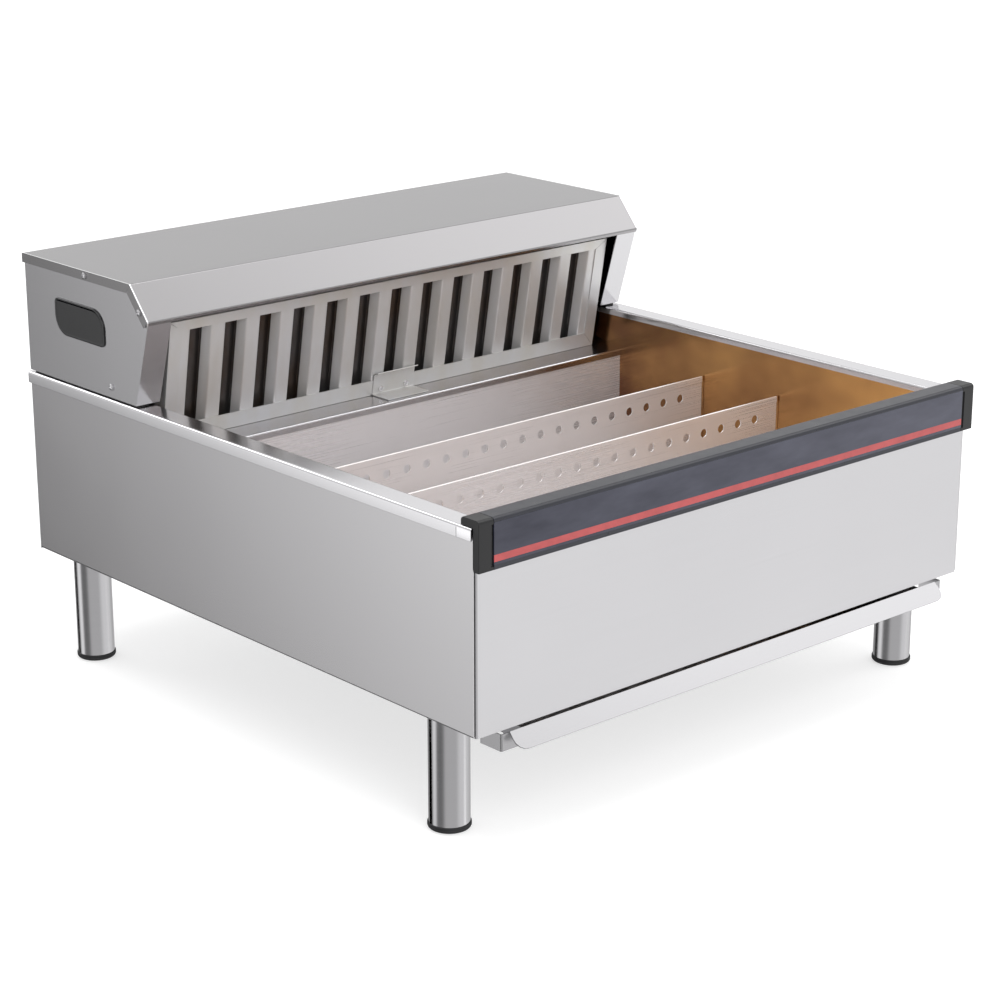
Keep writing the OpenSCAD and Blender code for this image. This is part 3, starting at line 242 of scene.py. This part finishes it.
def galvanised(name, tone):
    """Zinc-coated sheet with its crystal spangle."""
    material, shader = new_finish(name, (tone, tone, tone), 0.42, metallic=1.0)
    link = material.node_tree.links.new
    place = node(material, "TexCoord").outputs["Object"]
    spangle = node(material, "TexVoronoi", {"Vector": place, "Scale": 190.0})
    cell = node(material, "SeparateColor", {"Color": spangle.outputs["Color"]}).outputs["Red"]
    dark, light = (tone * 0.94, tone * 0.96, tone * 0.98), (tone * 1.03, tone * 1.05, tone * 1.07)
    link(tint(material, cell, dark, light), shader.inputs["Base Color"])
    link(spread(material, cell, 0.4, 0.46), shader.inputs["Roughness"])
    return material


zinc = galvanised("zinc_sheet", 0.5)
dress(zinc, "back_panel", "base_pan", "corner_posts", "leg_plates", "tray_runners", "hood_back")


# Rail caps: stainless channels pushed over the top edges of the side panels.
# Their tone is set well above that of the panels below, a brightness that is painted light.
rail_steel = brushed_steel("rail_steel", 0.80, (2500, 6, 2500), roughness=0.18)
eased("left_rail_cap", rail_steel)
eased("right_rail_cap", rail_steel)


# Food well: side, front and rear walls of polished stainless, folded and welded.
# The side walls carry a painted reflection: a straw and bronze colour, deepest towards the rear.
def place_along(material, axis, output="Object"):
    """A point's place along one axis, or with Normal how far the surface faces that way."""
    place = node(material, "TexCoord").outputs[output]
    return node(material, "SeparateXYZ", {"Vector": place}).outputs[axis]


def heat_tinted(name, pale, deep, marks, roughness, deep_end, pale_end):
    """Polished stainless with a painted reflection, a colour that deepens in clouds and towards one place
    along Y and pales towards another.
    """
    material, shader = new_finish(name, pale, roughness, metallic=1.0)
    link = material.node_tree.links.new
    clouds = grain(material, (7, 7, 9), detail=3.0)
    reflection_fade = spread(material, place_along(material, "Y"), 0.2, 0.8, start=deep_end, end=pale_end)
    link(tint(material, average(material, clouds, reflection_fade), deep, pale), shader.inputs["Base Color"])
    link(spread(material, clouds, roughness + 0.05, roughness - 0.03), shader.inputs["Roughness"])
    relief(material, shader, grain(material, marks), 0.000002)
    return material


# The bronze of the side walls is a painted reflection.
dress(heat_tinted("painted_reflection_wall", (0.90, 0.50, 0.18), (0.16, 0.065, 0.045), (5, 5, 2500), 0.2, 0.16, -0.30),
      "well_left_wall", "well_right_wall")
# The end walls' tone is raised above that of real stainless, which is painted light brightening the well.
dress(brushed_steel("well_end_steel", 0.95, (5, 2500, 2500), roughness=0.28, warmth=0.012, contrast=0.015,
                    gloss=0.6), "well_front_wall", "well_rear_wall")
eased("rear_ledge", brushed_steel("ledge_steel", 0.66, (5, 2500, 2500), roughness=0.2))


# Rack and dividers: a perforated tray of thick sheet and two hemmed, perforated dividers
# that stand on it. All three lift out for washing.
dress(brushed_steel("rack_steel", 0.62, (90, 90, 90), roughness=0.34, warmth=0.012, gloss=0.8), "food_rack")
# The dividers' tone is raised in the same way, which is painted light.
dress(brushed_steel("divider_steel", 0.93, (5, 2500, 2500), roughness=0.28, warmth=0.03, contrast=0.015,
                    gloss=0.6), "rear_divider", "front_divider")


# Hood: two side plates under a one-piece folded cover, on gaskets of black sponge.
# The cover is brushed from end to end, and a painted highlight runs along its side folds.
hood_side_steel = brushed_steel("hood_side_steel", 0.55, (5, 5, 2500), roughness=0.2)
eased("hood_left_side", hood_side_steel)
eased("hood_right_side", hood_side_steel)


def rub_folds(material, edge_x, width):
    """Paints a near-white highlight on the cover's skin along its two side folds."""
    shader = material.node_tree.nodes["Principled BSDF"]
    place, facing = place_along(material, "X"), place_along(material, "X", "Normal")
    from_middle = node(material, "Math", {0: place}, operation="ABSOLUTE").outputs["Value"]
    side_on = node(material, "Math", {0: facing}, operation="ABSOLUTE").outputs["Value"]
    near_fold = spread(material, from_middle, 0, 1, start=edge_x - width, end=edge_x - width * 0.6)
    on_skin = spread(material, side_on, 0, 1, start=0.9, end=0.6)
    highlight_mask = node(material, "Math", {0: near_fold, 1: on_skin}, operation="MULTIPLY").outputs["Value"]
    skin = shader.inputs["Base Color"].links[0].from_socket
    # The near-white colour mixed in here is the painted highlight.
    mixed = node(material, "Mix", {0: highlight_mask, 6: skin, 7: (0.95, 0.95, 0.96, 1)}, data_type="RGBA").outputs[2]
    material.node_tree.links.new(mixed, shader.inputs["Base Color"])


# The cover's tone is far below that of the rail caps, which face the same way; the difference is painted
# shade.
cover_steel = brushed_steel("hood_cover_steel", 0.315, (5, 2500, 2500), roughness=0.22, warmth=0.003)
# A painted highlight is mixed into the cover's colour along its side folds.
rub_folds(cover_steel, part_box("hood_cover")[1][0], 0.0019)
eased("hood_cover", cover_steel)
dress(rubber("gasket_sponge", (0.03, 0.03, 0.03)), "hood_gaskets")


# Screws: stainless pan-head screws with a pressed cross recess, in the hood, the back
# and the filter's clip.
def separate_solids(name):
    """The lowest and highest corner of each solid of a CAD node."""
    shape = bmesh.new()
    shape.from_mesh(frame["nodes"][name].data)
    bmesh.ops.remove_doubles(shape, verts=shape.verts, dist=2 * WELD)
    shape.verts.ensure_lookup_table()
    waiting, corners = set(range(len(shape.verts))), []
    while waiting:
        found, frontier = set(), [waiting.pop()]
        while frontier:
            index = frontier.pop()
            found.add(index)
            for line in shape.verts[index].link_edges:
                other = line.other_vert(shape.verts[index]).index
                if other in waiting:
                    waiting.discard(other)
                    frontier.append(other)
        points = [shape.verts[i].co for i in found]
        corners.append((Vector(map(min, zip(*points))), Vector(map(max, zip(*points)))))
    shape.free()
    return corners


HEAD_RADIUS, HEAD_STEPS, ARM, SLOT = 0.0035, 64, 0.56, 0.13
HEAD_RINGS = [0.06, 0.13, 0.2, 0.28, 0.36, 0.44, 0.5, 0.56, 0.62, 0.72, 0.82, 0.9, 0.96, 1.0]


def add_head(shape, base, outward, height, turn):
    """Adds a domed head with a cross recess, standing on base and facing outward."""
    side = outward.orthogonal().normalized()
    up = outward.cross(side)

    def point(reach, angle, lift):
        return shape.verts.new(base + (side * math.cos(angle) + up * math.sin(angle)) * reach * HEAD_RADIUS
                               + outward * lift)

    def dome(reach, angle):
        across, along = reach * math.cos(angle - turn), reach * math.sin(angle - turn)
        lift = height * (0.5 + 0.5 * math.sqrt(max(0.0, 1 - reach * reach * 0.97)))
        if min(abs(across), abs(along)) < SLOT and max(abs(across), abs(along)) < ARM:
            lift -= height * (0.5 - 0.3 * reach / ARM)
        return lift

    rings = [[point(r, math.tau * k / HEAD_STEPS, dome(r, math.tau * k / HEAD_STEPS))
              for k in range(HEAD_STEPS)] for r in HEAD_RINGS]
    rings.append([point(1.0, math.tau * k / HEAD_STEPS, 0.0) for k in range(HEAD_STEPS)])
    for inner, outer in zip(rings, rings[1:]):
        for k in range(HEAD_STEPS):
            shape.faces.new((inner[k], outer[k], outer[(k + 1) % HEAD_STEPS], inner[(k + 1) % HEAD_STEPS]))
    shape.faces.new(rings[0])
    shape.faces.new(list(reversed(rings[-1])))


def screw_set(name, node_name, outward_of, head_base, height, body):
    """One mesh with a head for each screw of a CAD node, each turned a little differently."""
    shape = bmesh.new()
    for count, (low, high) in enumerate(separate_solids(node_name)):
        outward = outward_of(low, high)
        add_head(shape, head_base(low, high, outward), outward, height, 0.4 + 1.1 * count)
    fit(made_piece(name, shape, screw_steel), "stainless", node_name, body=body)


screw_steel = brushed_steel("screw_steel", 0.72, (300, 300, 300), roughness=0.2)
FILTER_LEAN = math.radians(9.9)
FILTER_OUT = Vector((0, -math.cos(FILTER_LEAN), -math.sin(FILTER_LEAN)))
HOOD_HEAD, REAR_HEAD, CLIP_HEAD, CLIP_PLAY = 0.0024, 0.0018, 0.0014, 0.0005


def outer_face(low, high, outward, height):
    """The foot of a head whose top is the outermost point of its solid."""
    middle = (low + high) / 2
    reach = max((corner - middle).dot(outward) for corner in (low, high))
    return middle + outward * (reach - height)


screw_set("hood_screw_heads", "hood_screws",
          lambda low, high: Vector((1 if low.x > 0 else -1, 0, 0)),
          lambda low, high, out: outer_face(low, high, out, HOOD_HEAD), HOOD_HEAD, "cabinet")
screw_set("rear_screw_heads", "rear_screws", lambda low, high: Vector((0, 1, 0)),
          lambda low, high, out: outer_face(low, high, out, REAR_HEAD), REAR_HEAD, "cabinet")
screw_set("clip_screw_heads", "filter_clip_screws", lambda low, high: FILTER_OUT,
          lambda low, high, out: (low + high) / 2 + out * CLIP_PLAY, CLIP_HEAD, "filter")


# Filter: a welded frame with two rows of U-shaped baffles, front and rear, and a spring
# clip at its foot. The frame and front baffles have faint smears of grease baked on by heat; the rear
# baffles, seen only through the gaps, are near-black with a brown cast, which is painted shade with a painted
# reflection.
def filter_steel(name, tone, stain_and_shade, gloss=0.7):
    """Stainless that many washings have dulled, with faint smears of baked grease; given a near-black tone
    and brown smears, it is painted shade with a painted reflection.
    """
    material, shader = new_finish(name, (tone, tone, tone), 0.28, metallic=gloss)
    link = material.node_tree.links.new
    smear = grain(material, (22, 22, 9), detail=3.0)
    link(tint(material, smear, stain_and_shade, (tone * 0.99, tone * 0.995, tone * 1.02)), shader.inputs["Base Color"])
    link(spread(material, smear, 0.33, 0.28), shader.inputs["Roughness"])
    relief(material, shader, grain(material, (1500, 12, 12), detail=1.0), 0.0000004)
    return material


frame_steel = filter_steel("filter_frame_steel", 0.68, (0.63, 0.61, 0.57), gloss=0.5)
eased("filter_frame", frame_steel)
eased("filter_clip", frame_steel)
dress(filter_steel("front_baffle_steel", 0.70, (0.62, 0.60, 0.575), gloss=0.42), "filter_front_baffles")
# The rear baffles' near-black tone and brown smear colour are painted shade and a painted reflection for the
# gaps between the front baffles.
dress(filter_steel("rear_baffle_steel", 0.12, (0.085, 0.058, 0.042), gloss=0.8), "filter_rear_baffles")


# Front trim: a dark extrusion with two moulded end blocks and a bare label insert,
# which has a red stripe along its foot.
def moulded(name, colour, roughness, coat=0.0):
    """Smooth moulded plastic with a trace of flow marks."""
    material, shader = new_finish(name, colour, roughness, Coat_Weight=coat)
    link = material.node_tree.links.new
    flow = grain(material, (60, 60, 60), detail=3.0)
    dark, light = (tuple(c * shade for c in colour) for shade in (0.9, 1.12))
    link(tint(material, flow, dark, light), shader.inputs["Base Color"])
    link(spread(material, flow, roughness - 0.03, roughness + 0.05), shader.inputs["Roughness"])
    return material


def faded(material, shader, near, far, near_x, far_x):
    """Lets a moulding's colour change from near to far between two places along X."""
    wiped = grain(material, (14, 14, 45), detail=3.0)
    x_grade = spread(material, place_along(material, "X"), 0.25, 0.75, start=near_x, end=far_x)
    colour = tint(material, average(material, x_grade, wiped), near, far)
    material.node_tree.links.new(colour, shader.inputs["Base Color"])


insert_plastic, insert_shader = new_finish("insert_slate", (0.04, 0.042, 0.062), 0.26, Coat_Weight=0.1)
# The insert runs from darker at its left end to paler at its right.
faded(insert_plastic, insert_shader, (0.014, 0.015, 0.030), (0.066, 0.068, 0.096), -0.45, 0.35)
eased("trim_extrusion", moulded("trim_slate", (0.019, 0.020, 0.028), 0.3))


def strip(name, outline, slot, node_name, material):
    """A straight strip along X whose section is outline, as Y and Z, in the place of a CAD node."""
    shape = bmesh.new()
    ends = [[shape.verts.new((corner.x, y, z)) for y, z in outline] for corner in corners_of(node_name)]
    for k in range(len(outline)):
        after = (k + 1) % len(outline)
        shape.faces.new((ends[0][k], ends[0][after], ends[1][after], ends[1][k]))
    shape.faces.new(ends[0])
    shape.faces.new(list(reversed(ends[1])))
    bmesh.ops.recalc_face_normals(shape, faces=shape.faces)
    fit(made_piece(name, shape, material), slot, node_name)


STRIPE_RISE, STRIPE_HEIGHT, STRIPE_DEPTH, STRIPE_PLAY = 0.0030, 0.0070, 0.0005, 0.00004
low, high = corners_of("label_insert")
foot, head = low.z + STRIPE_RISE, low.z + STRIPE_RISE + STRIPE_HEIGHT
strip("bare_insert", [(high.y, low.z), (low.y, low.z), (low.y, foot), (low.y + STRIPE_DEPTH, foot),
                      (low.y + STRIPE_DEPTH, head), (low.y, head), (low.y, high.z), (high.y, high.z)],
      "slate_trim", "label_insert", insert_plastic)
strip("narrow_stripe", [(low.y + STRIPE_DEPTH, foot + STRIPE_PLAY), (low.y, foot + STRIPE_PLAY),
                        (low.y, head - STRIPE_PLAY), (low.y + STRIPE_DEPTH, head - STRIPE_PLAY)],
      "red_plastic", "red_stripe", moulded("stripe_red", (0.42, 0.06, 0.062), 0.2, coat=0.3))
black_plastic = moulded("black_plastic", (0.005, 0.005, 0.006), 0.34)
eased("trim_left_block", black_plastic, edge=0.0005)
eased("trim_right_block", black_plastic, edge=0.0005)


# Plaque: a black moulded plate with a raised rim round a dished face, stuck to the hood's side.
# Its face is bare.
PLAQUE_RIM, PLAQUE_DISH, PLAQUE_EDGE = 0.0035, 0.0005, 0.0006


def plaque_outline(inward, low, high, steps=10):
    """The plate's outline in Y and Z, with two small and two large corners, moved inward."""
    small, large = 0.006, 0.022
    corners = [(low.y, low.z, small, 180), (high.y, low.z, large, 270),
               (high.y, high.z, small, 0), (low.y, high.z, large, 90)]
    points = []
    for y, z, radius, start in corners:
        across = 1 if y == low.y else -1
        upward = 1 if z == low.z else -1
        centre = (y + across * radius, z + upward * radius)
        for k in range(steps + 1):
            angle = math.radians(start + 90 * k / steps)
            reach = max(radius - inward, 0.0004)
            points.append((centre[0] + reach * math.cos(angle), centre[1] + reach * math.sin(angle)))
    return points


low, high = corners_of("side_plaque")
shape = bmesh.new()
levels = [(0.0, high.x), (0.0, low.x + PLAQUE_EDGE), (PLAQUE_EDGE * 0.3, low.x + PLAQUE_EDGE * 0.3),
          (PLAQUE_EDGE, low.x), (PLAQUE_RIM - PLAQUE_EDGE, low.x), (PLAQUE_RIM, low.x + PLAQUE_DISH)]
rings = [[shape.verts.new((x, y, z)) for y, z in plaque_outline(inward, low, high)] for inward, x in levels]
for outer, inner in zip(rings, rings[1:]):
    for k in range(len(outer)):
        face = shape.faces.new((outer[k], outer[(k + 1) % len(outer)], inner[(k + 1) % len(outer)], inner[k]))
        face.smooth = True
shape.faces.new(rings[-1])
shape.faces.new(list(reversed(rings[0])))
bmesh.ops.recalc_face_normals(shape, faces=shape.faces)
plaque_black = moulded("plaque_black", (0.006, 0.006, 0.007), 0.2, coat=0.3)
fit(made_piece("domed_plaque", shape, plaque_black), "black_plastic", "side_plaque")


# Crumb tray: a folded stainless pan that slides on two runners under the base pan.
# It is pulled by its bent lip.
eased("crumb_tray", brushed_steel("tray_steel", 0.44, (6, 2500, 2500), roughness=0.26))


# Air system: a galvanised blower scroll and duct, a painted motor on its bracket,
# and a sheathed heating element bent back and forth in the duct.
dress(zinc, "blower_housing", "blower_wheel", "motor_bracket", "air_duct", "element_brackets")
dress(moulded("motor_paint", (0.05, 0.055, 0.06), 0.4), "blower_motor")
dress(filter_steel("element_sheath", 0.2, (0.1, 0.08, 0.075)), "heating_element")


# Controls: a stainless plate on the back with the rocker in its bezel and the thermostat
# with its knob, and the terminal block and cable inlet.
dress(brushed_steel("control_plate_steel", 0.62, (6, 6, 700)), "control_plate")
dress(black_plastic, "rocker_bezel", "thermostat_knob", "terminal_block", "cable_inlet")
dress(moulded("rocker_red", (0.45, 0.03, 0.03), 0.22, coat=0.3), "power_rocker")
dress(moulded("thermostat_case", (0.5, 0.46, 0.36), 0.45), "thermostat")


# Dial: marks and numbers printed in black on the control plate around the thermostat's knob,
# and the two symbols moulded on the rocker.
DIAL_RADIUS, DIAL_SWEEP, DIAL_STEPS, INK = 0.0235, 270, 9, 0.00012
LONG_MARK, SHORT_MARK, MARK_WIDTH, NUMBER_SIZE, NUMBER_GAP = 0.0034, 0.0022, 0.0007, 0.0062, 0.0075
ink = moulded("black_ink", (0.015, 0.015, 0.015), 0.5)
white_ink = moulded("white_ink", (0.8, 0.8, 0.8), 0.4)


def printed(name, words, size, place, material, body, lean=0.0):
    """Raised numbers or letters that read from behind the cabinet, leaning about X."""
    text = bpy.data.curves.new(name, "FONT")
    text.body, text.size, text.extrude = words, size, INK
    text.align_x, text.align_y = "CENTER", "CENTER"
    letters = bpy.data.objects.new(name + "_text", text)
    bpy.context.collection.objects.link(letters)
    mesh = bpy.data.meshes.new_from_object(letters)
    bpy.data.objects.remove(letters)
    upright = Matrix(((-1, 0, 0, 0), (0, 0, 1, 0), (0, 1, 0, 0), (0, 0, 0, 1)))
    mesh.transform(Matrix.Translation(place) @ Matrix.Rotation(lean, 4, "X") @ upright)
    mesh.name = name
    mesh.materials.clear()
    mesh.materials.append(material)
    piece = bpy.data.objects.new(name, mesh)
    bpy.context.collection.objects.link(piece)
    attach(piece, body)


low, high = corners_of("thermostat_knob")
plate_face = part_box("control_plate")[1][1]
dial = Vector(((low.x + high.x) / 2, plate_face, (low.z + high.z) / 2))
marks = bmesh.new()
for step in range(DIAL_STEPS + 1):
    angle = math.radians(90 + DIAL_SWEEP / 2 - DIAL_SWEEP * step / DIAL_STEPS)
    length = LONG_MARK if step % 3 == 0 else SHORT_MARK
    bar = bmesh.ops.create_cube(marks, size=1.0)["verts"]
    middle = DIAL_RADIUS + length / 2
    place = dial + Vector((-middle * math.cos(angle), INK, middle * math.sin(angle)))
    bmesh.ops.transform(marks, verts=bar, matrix=Matrix.Translation(place)
                        @ Matrix.Rotation(angle, 4, "Y")
                        @ Matrix.Diagonal((length, 2 * INK, MARK_WIDTH, 1)))
    if step % 3 == 0:
        outer = DIAL_RADIUS + NUMBER_GAP
        printed("dial_number_%d" % step, str(step), NUMBER_SIZE,
                dial + Vector((-outer * math.cos(angle), INK, outer * math.sin(angle))),
                ink, "cabinet")
dial_marks = made_piece("dial_marks", marks, ink)
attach(dial_marks, "cabinet")

ROCKER_TILT, ROCKER_SLOPE, PIVOT_IN = math.radians(8), math.atan2(1.6, 12.5), 0.002
SYMBOL_REACH, SYMBOL_SIZE, FACE_OUT = 0.0065, 0.006, 0.004
low, high = corners_of("power_rocker")
bezel_low, bezel_high = corners_of("rocker_bezel")
pivot = Vector(((low.x + high.x) / 2, plate_face - PIVOT_IN, bezel_low.z / 2 + bezel_high.z / 2))
for name, words, reach in (("rocker_on_mark", "I", SYMBOL_REACH), ("rocker_off_mark", "O", -SYMBOL_REACH)):
    out = FACE_OUT + abs(reach) * math.tan(ROCKER_SLOPE)
    place = pivot + Matrix.Rotation(-ROCKER_TILT, 3, "X") @ Vector((0, out, reach))
    slope = ROCKER_SLOPE if reach > 0 else -ROCKER_SLOPE
    printed(name, words, SYMBOL_SIZE, place, white_ink, "rocker", lean=-ROCKER_TILT - slope)


# Studio floor and lamps: a pale paper floor just under the feet and two large softboxes,
# one in front and one overhead. The steel doesn't mirror the floor.
FLOOR_HALF, FLOOR_DROP = 200.0, 0.0004
floor_mesh = bpy.data.meshes.new("studio_floor")
floor_mesh.from_pydata([(x * FLOOR_HALF, y * FLOOR_HALF, -FLOOR_DROP)
                        for x, y in ((-1, -1), (1, -1), (1, 1), (-1, 1))], [], [(0, 1, 2, 3)])
paper, _ = new_finish("studio_paper", (0.6, 0.6, 0.6), 0.9,
                      Emission_Color=(1, 1, 1, 1), Emission_Strength=0.62)
floor_mesh.materials.append(paper)
floor = bpy.data.objects.new("studio_floor", floor_mesh)
floor.visible_glossy = False
bpy.context.collection.objects.link(floor)


def softbox(name, place, aim, size, power):
    """A square area light that points at a place."""
    data = bpy.data.lights.new(name, "AREA")
    data.shape = "SQUARE"
    data.size = size
    data.energy = power
    lamp = bpy.data.objects.new(name, data)
    lamp.location = place
    lamp.rotation_euler = (Vector(aim) - Vector(place)).to_track_quat("-Z", "Y").to_euler()
    bpy.context.collection.objects.link(lamp)


softbox("key", (-0.8, -3.0, 2.2), (0, 0, 0.2), 2.2, 36)
softbox("top", (0.2, 0.2, 3.2), (0, 0, 0.3), 2.6, 40)


# Studio walls: a grey shell with paler and darker cards, each a soft round
# patch in one direction, which the brushed steel mirrors.
STUDIO_GREY = 0.62
world = bpy.data.worlds.new("studio")
bpy.context.scene.world = world
world.use_nodes = True
shell = world.node_tree
direction = shell.nodes.new("ShaderNodeTexCoord").outputs["Generated"]


def toward(azimuth, elevation):
    """The direction of a card; azimuth turns from +X towards +Y."""
    a, e = math.radians(azimuth), math.radians(elevation)
    return (math.cos(a) * math.cos(e), math.sin(a) * math.cos(e), math.sin(e))


def card(before, azimuth, elevation, reach, strength):
    """Adds a card's light, which fades out over reach degrees, to the light before it."""
    nearness = shell.nodes.new("ShaderNodeVectorMath")
    nearness.operation = "DOT_PRODUCT"
    nearness.inputs[1].default_value = toward(azimuth, elevation)
    shell.links.new(direction, nearness.inputs[0])
    fade = shell.nodes.new("ShaderNodeMapRange")
    fade.interpolation_type = "SMOOTHSTEP"
    fade.inputs["From Min"].default_value = math.cos(math.radians(reach))
    fade.inputs["From Max"].default_value = 1.0
    fade.inputs["To Min"].default_value = 0.0
    fade.inputs["To Max"].default_value = strength
    shell.links.new(nearness.outputs["Value"], fade.inputs["Value"])
    total = shell.nodes.new("ShaderNodeMath")
    total.operation = "ADD"
    if before is None:
        total.inputs[0].default_value = STUDIO_GREY
    else:
        shell.links.new(before, total.inputs[0])
    shell.links.new(fade.outputs["Result"], total.inputs[1])
    return total.outputs["Value"]


light = None
for azimuth, elevation, reach, strength in (
        (140, -15, 23, 0.80), (112, -18, 22, -0.40), (125, -48, 42, -0.50), (180, -18, 30, -0.42),
        (85, -18, 24, -0.25), (-43, -15, 50, 0.45), (-40, -52, 42, -0.35),
        (52, 18, 34, 0.30), (-35, 52, 28, 0.22), (-12, 40, 24, 1.60),
        (106, 33, 18, 2.20), (-36, -31, 11, 0.90)):
    light = card(light, azimuth, elevation, reach, strength)
shell.links.new(light, shell.nodes["Background"].inputs["Strength"])
shell.nodes["Background"].inputs["Color"].default_value = (1, 1, 1, 1)
bpy.context.scene.view_settings.view_transform = "Standard"


# Camera: its place, direction and lens were solved on the cabinet's straight edges.
camera_data = bpy.data.cameras.new("camera")
camera_data.sensor_width = 36
camera_data.lens = 92.67
camera = bpy.data.objects.new("camera", camera_data)
camera.location = (-1.8182, -2.0367, 1.0652)
looking = Vector((0.63607, 0.70838, -0.30596))
camera.rotation_mode = "QUATERNION"
camera.rotation_quaternion = looking.to_track_quat("-Z", "Y")
camera_data.clip_end = 1000
bpy.context.collection.objects.link(camera)
bpy.context.scene.camera = camera
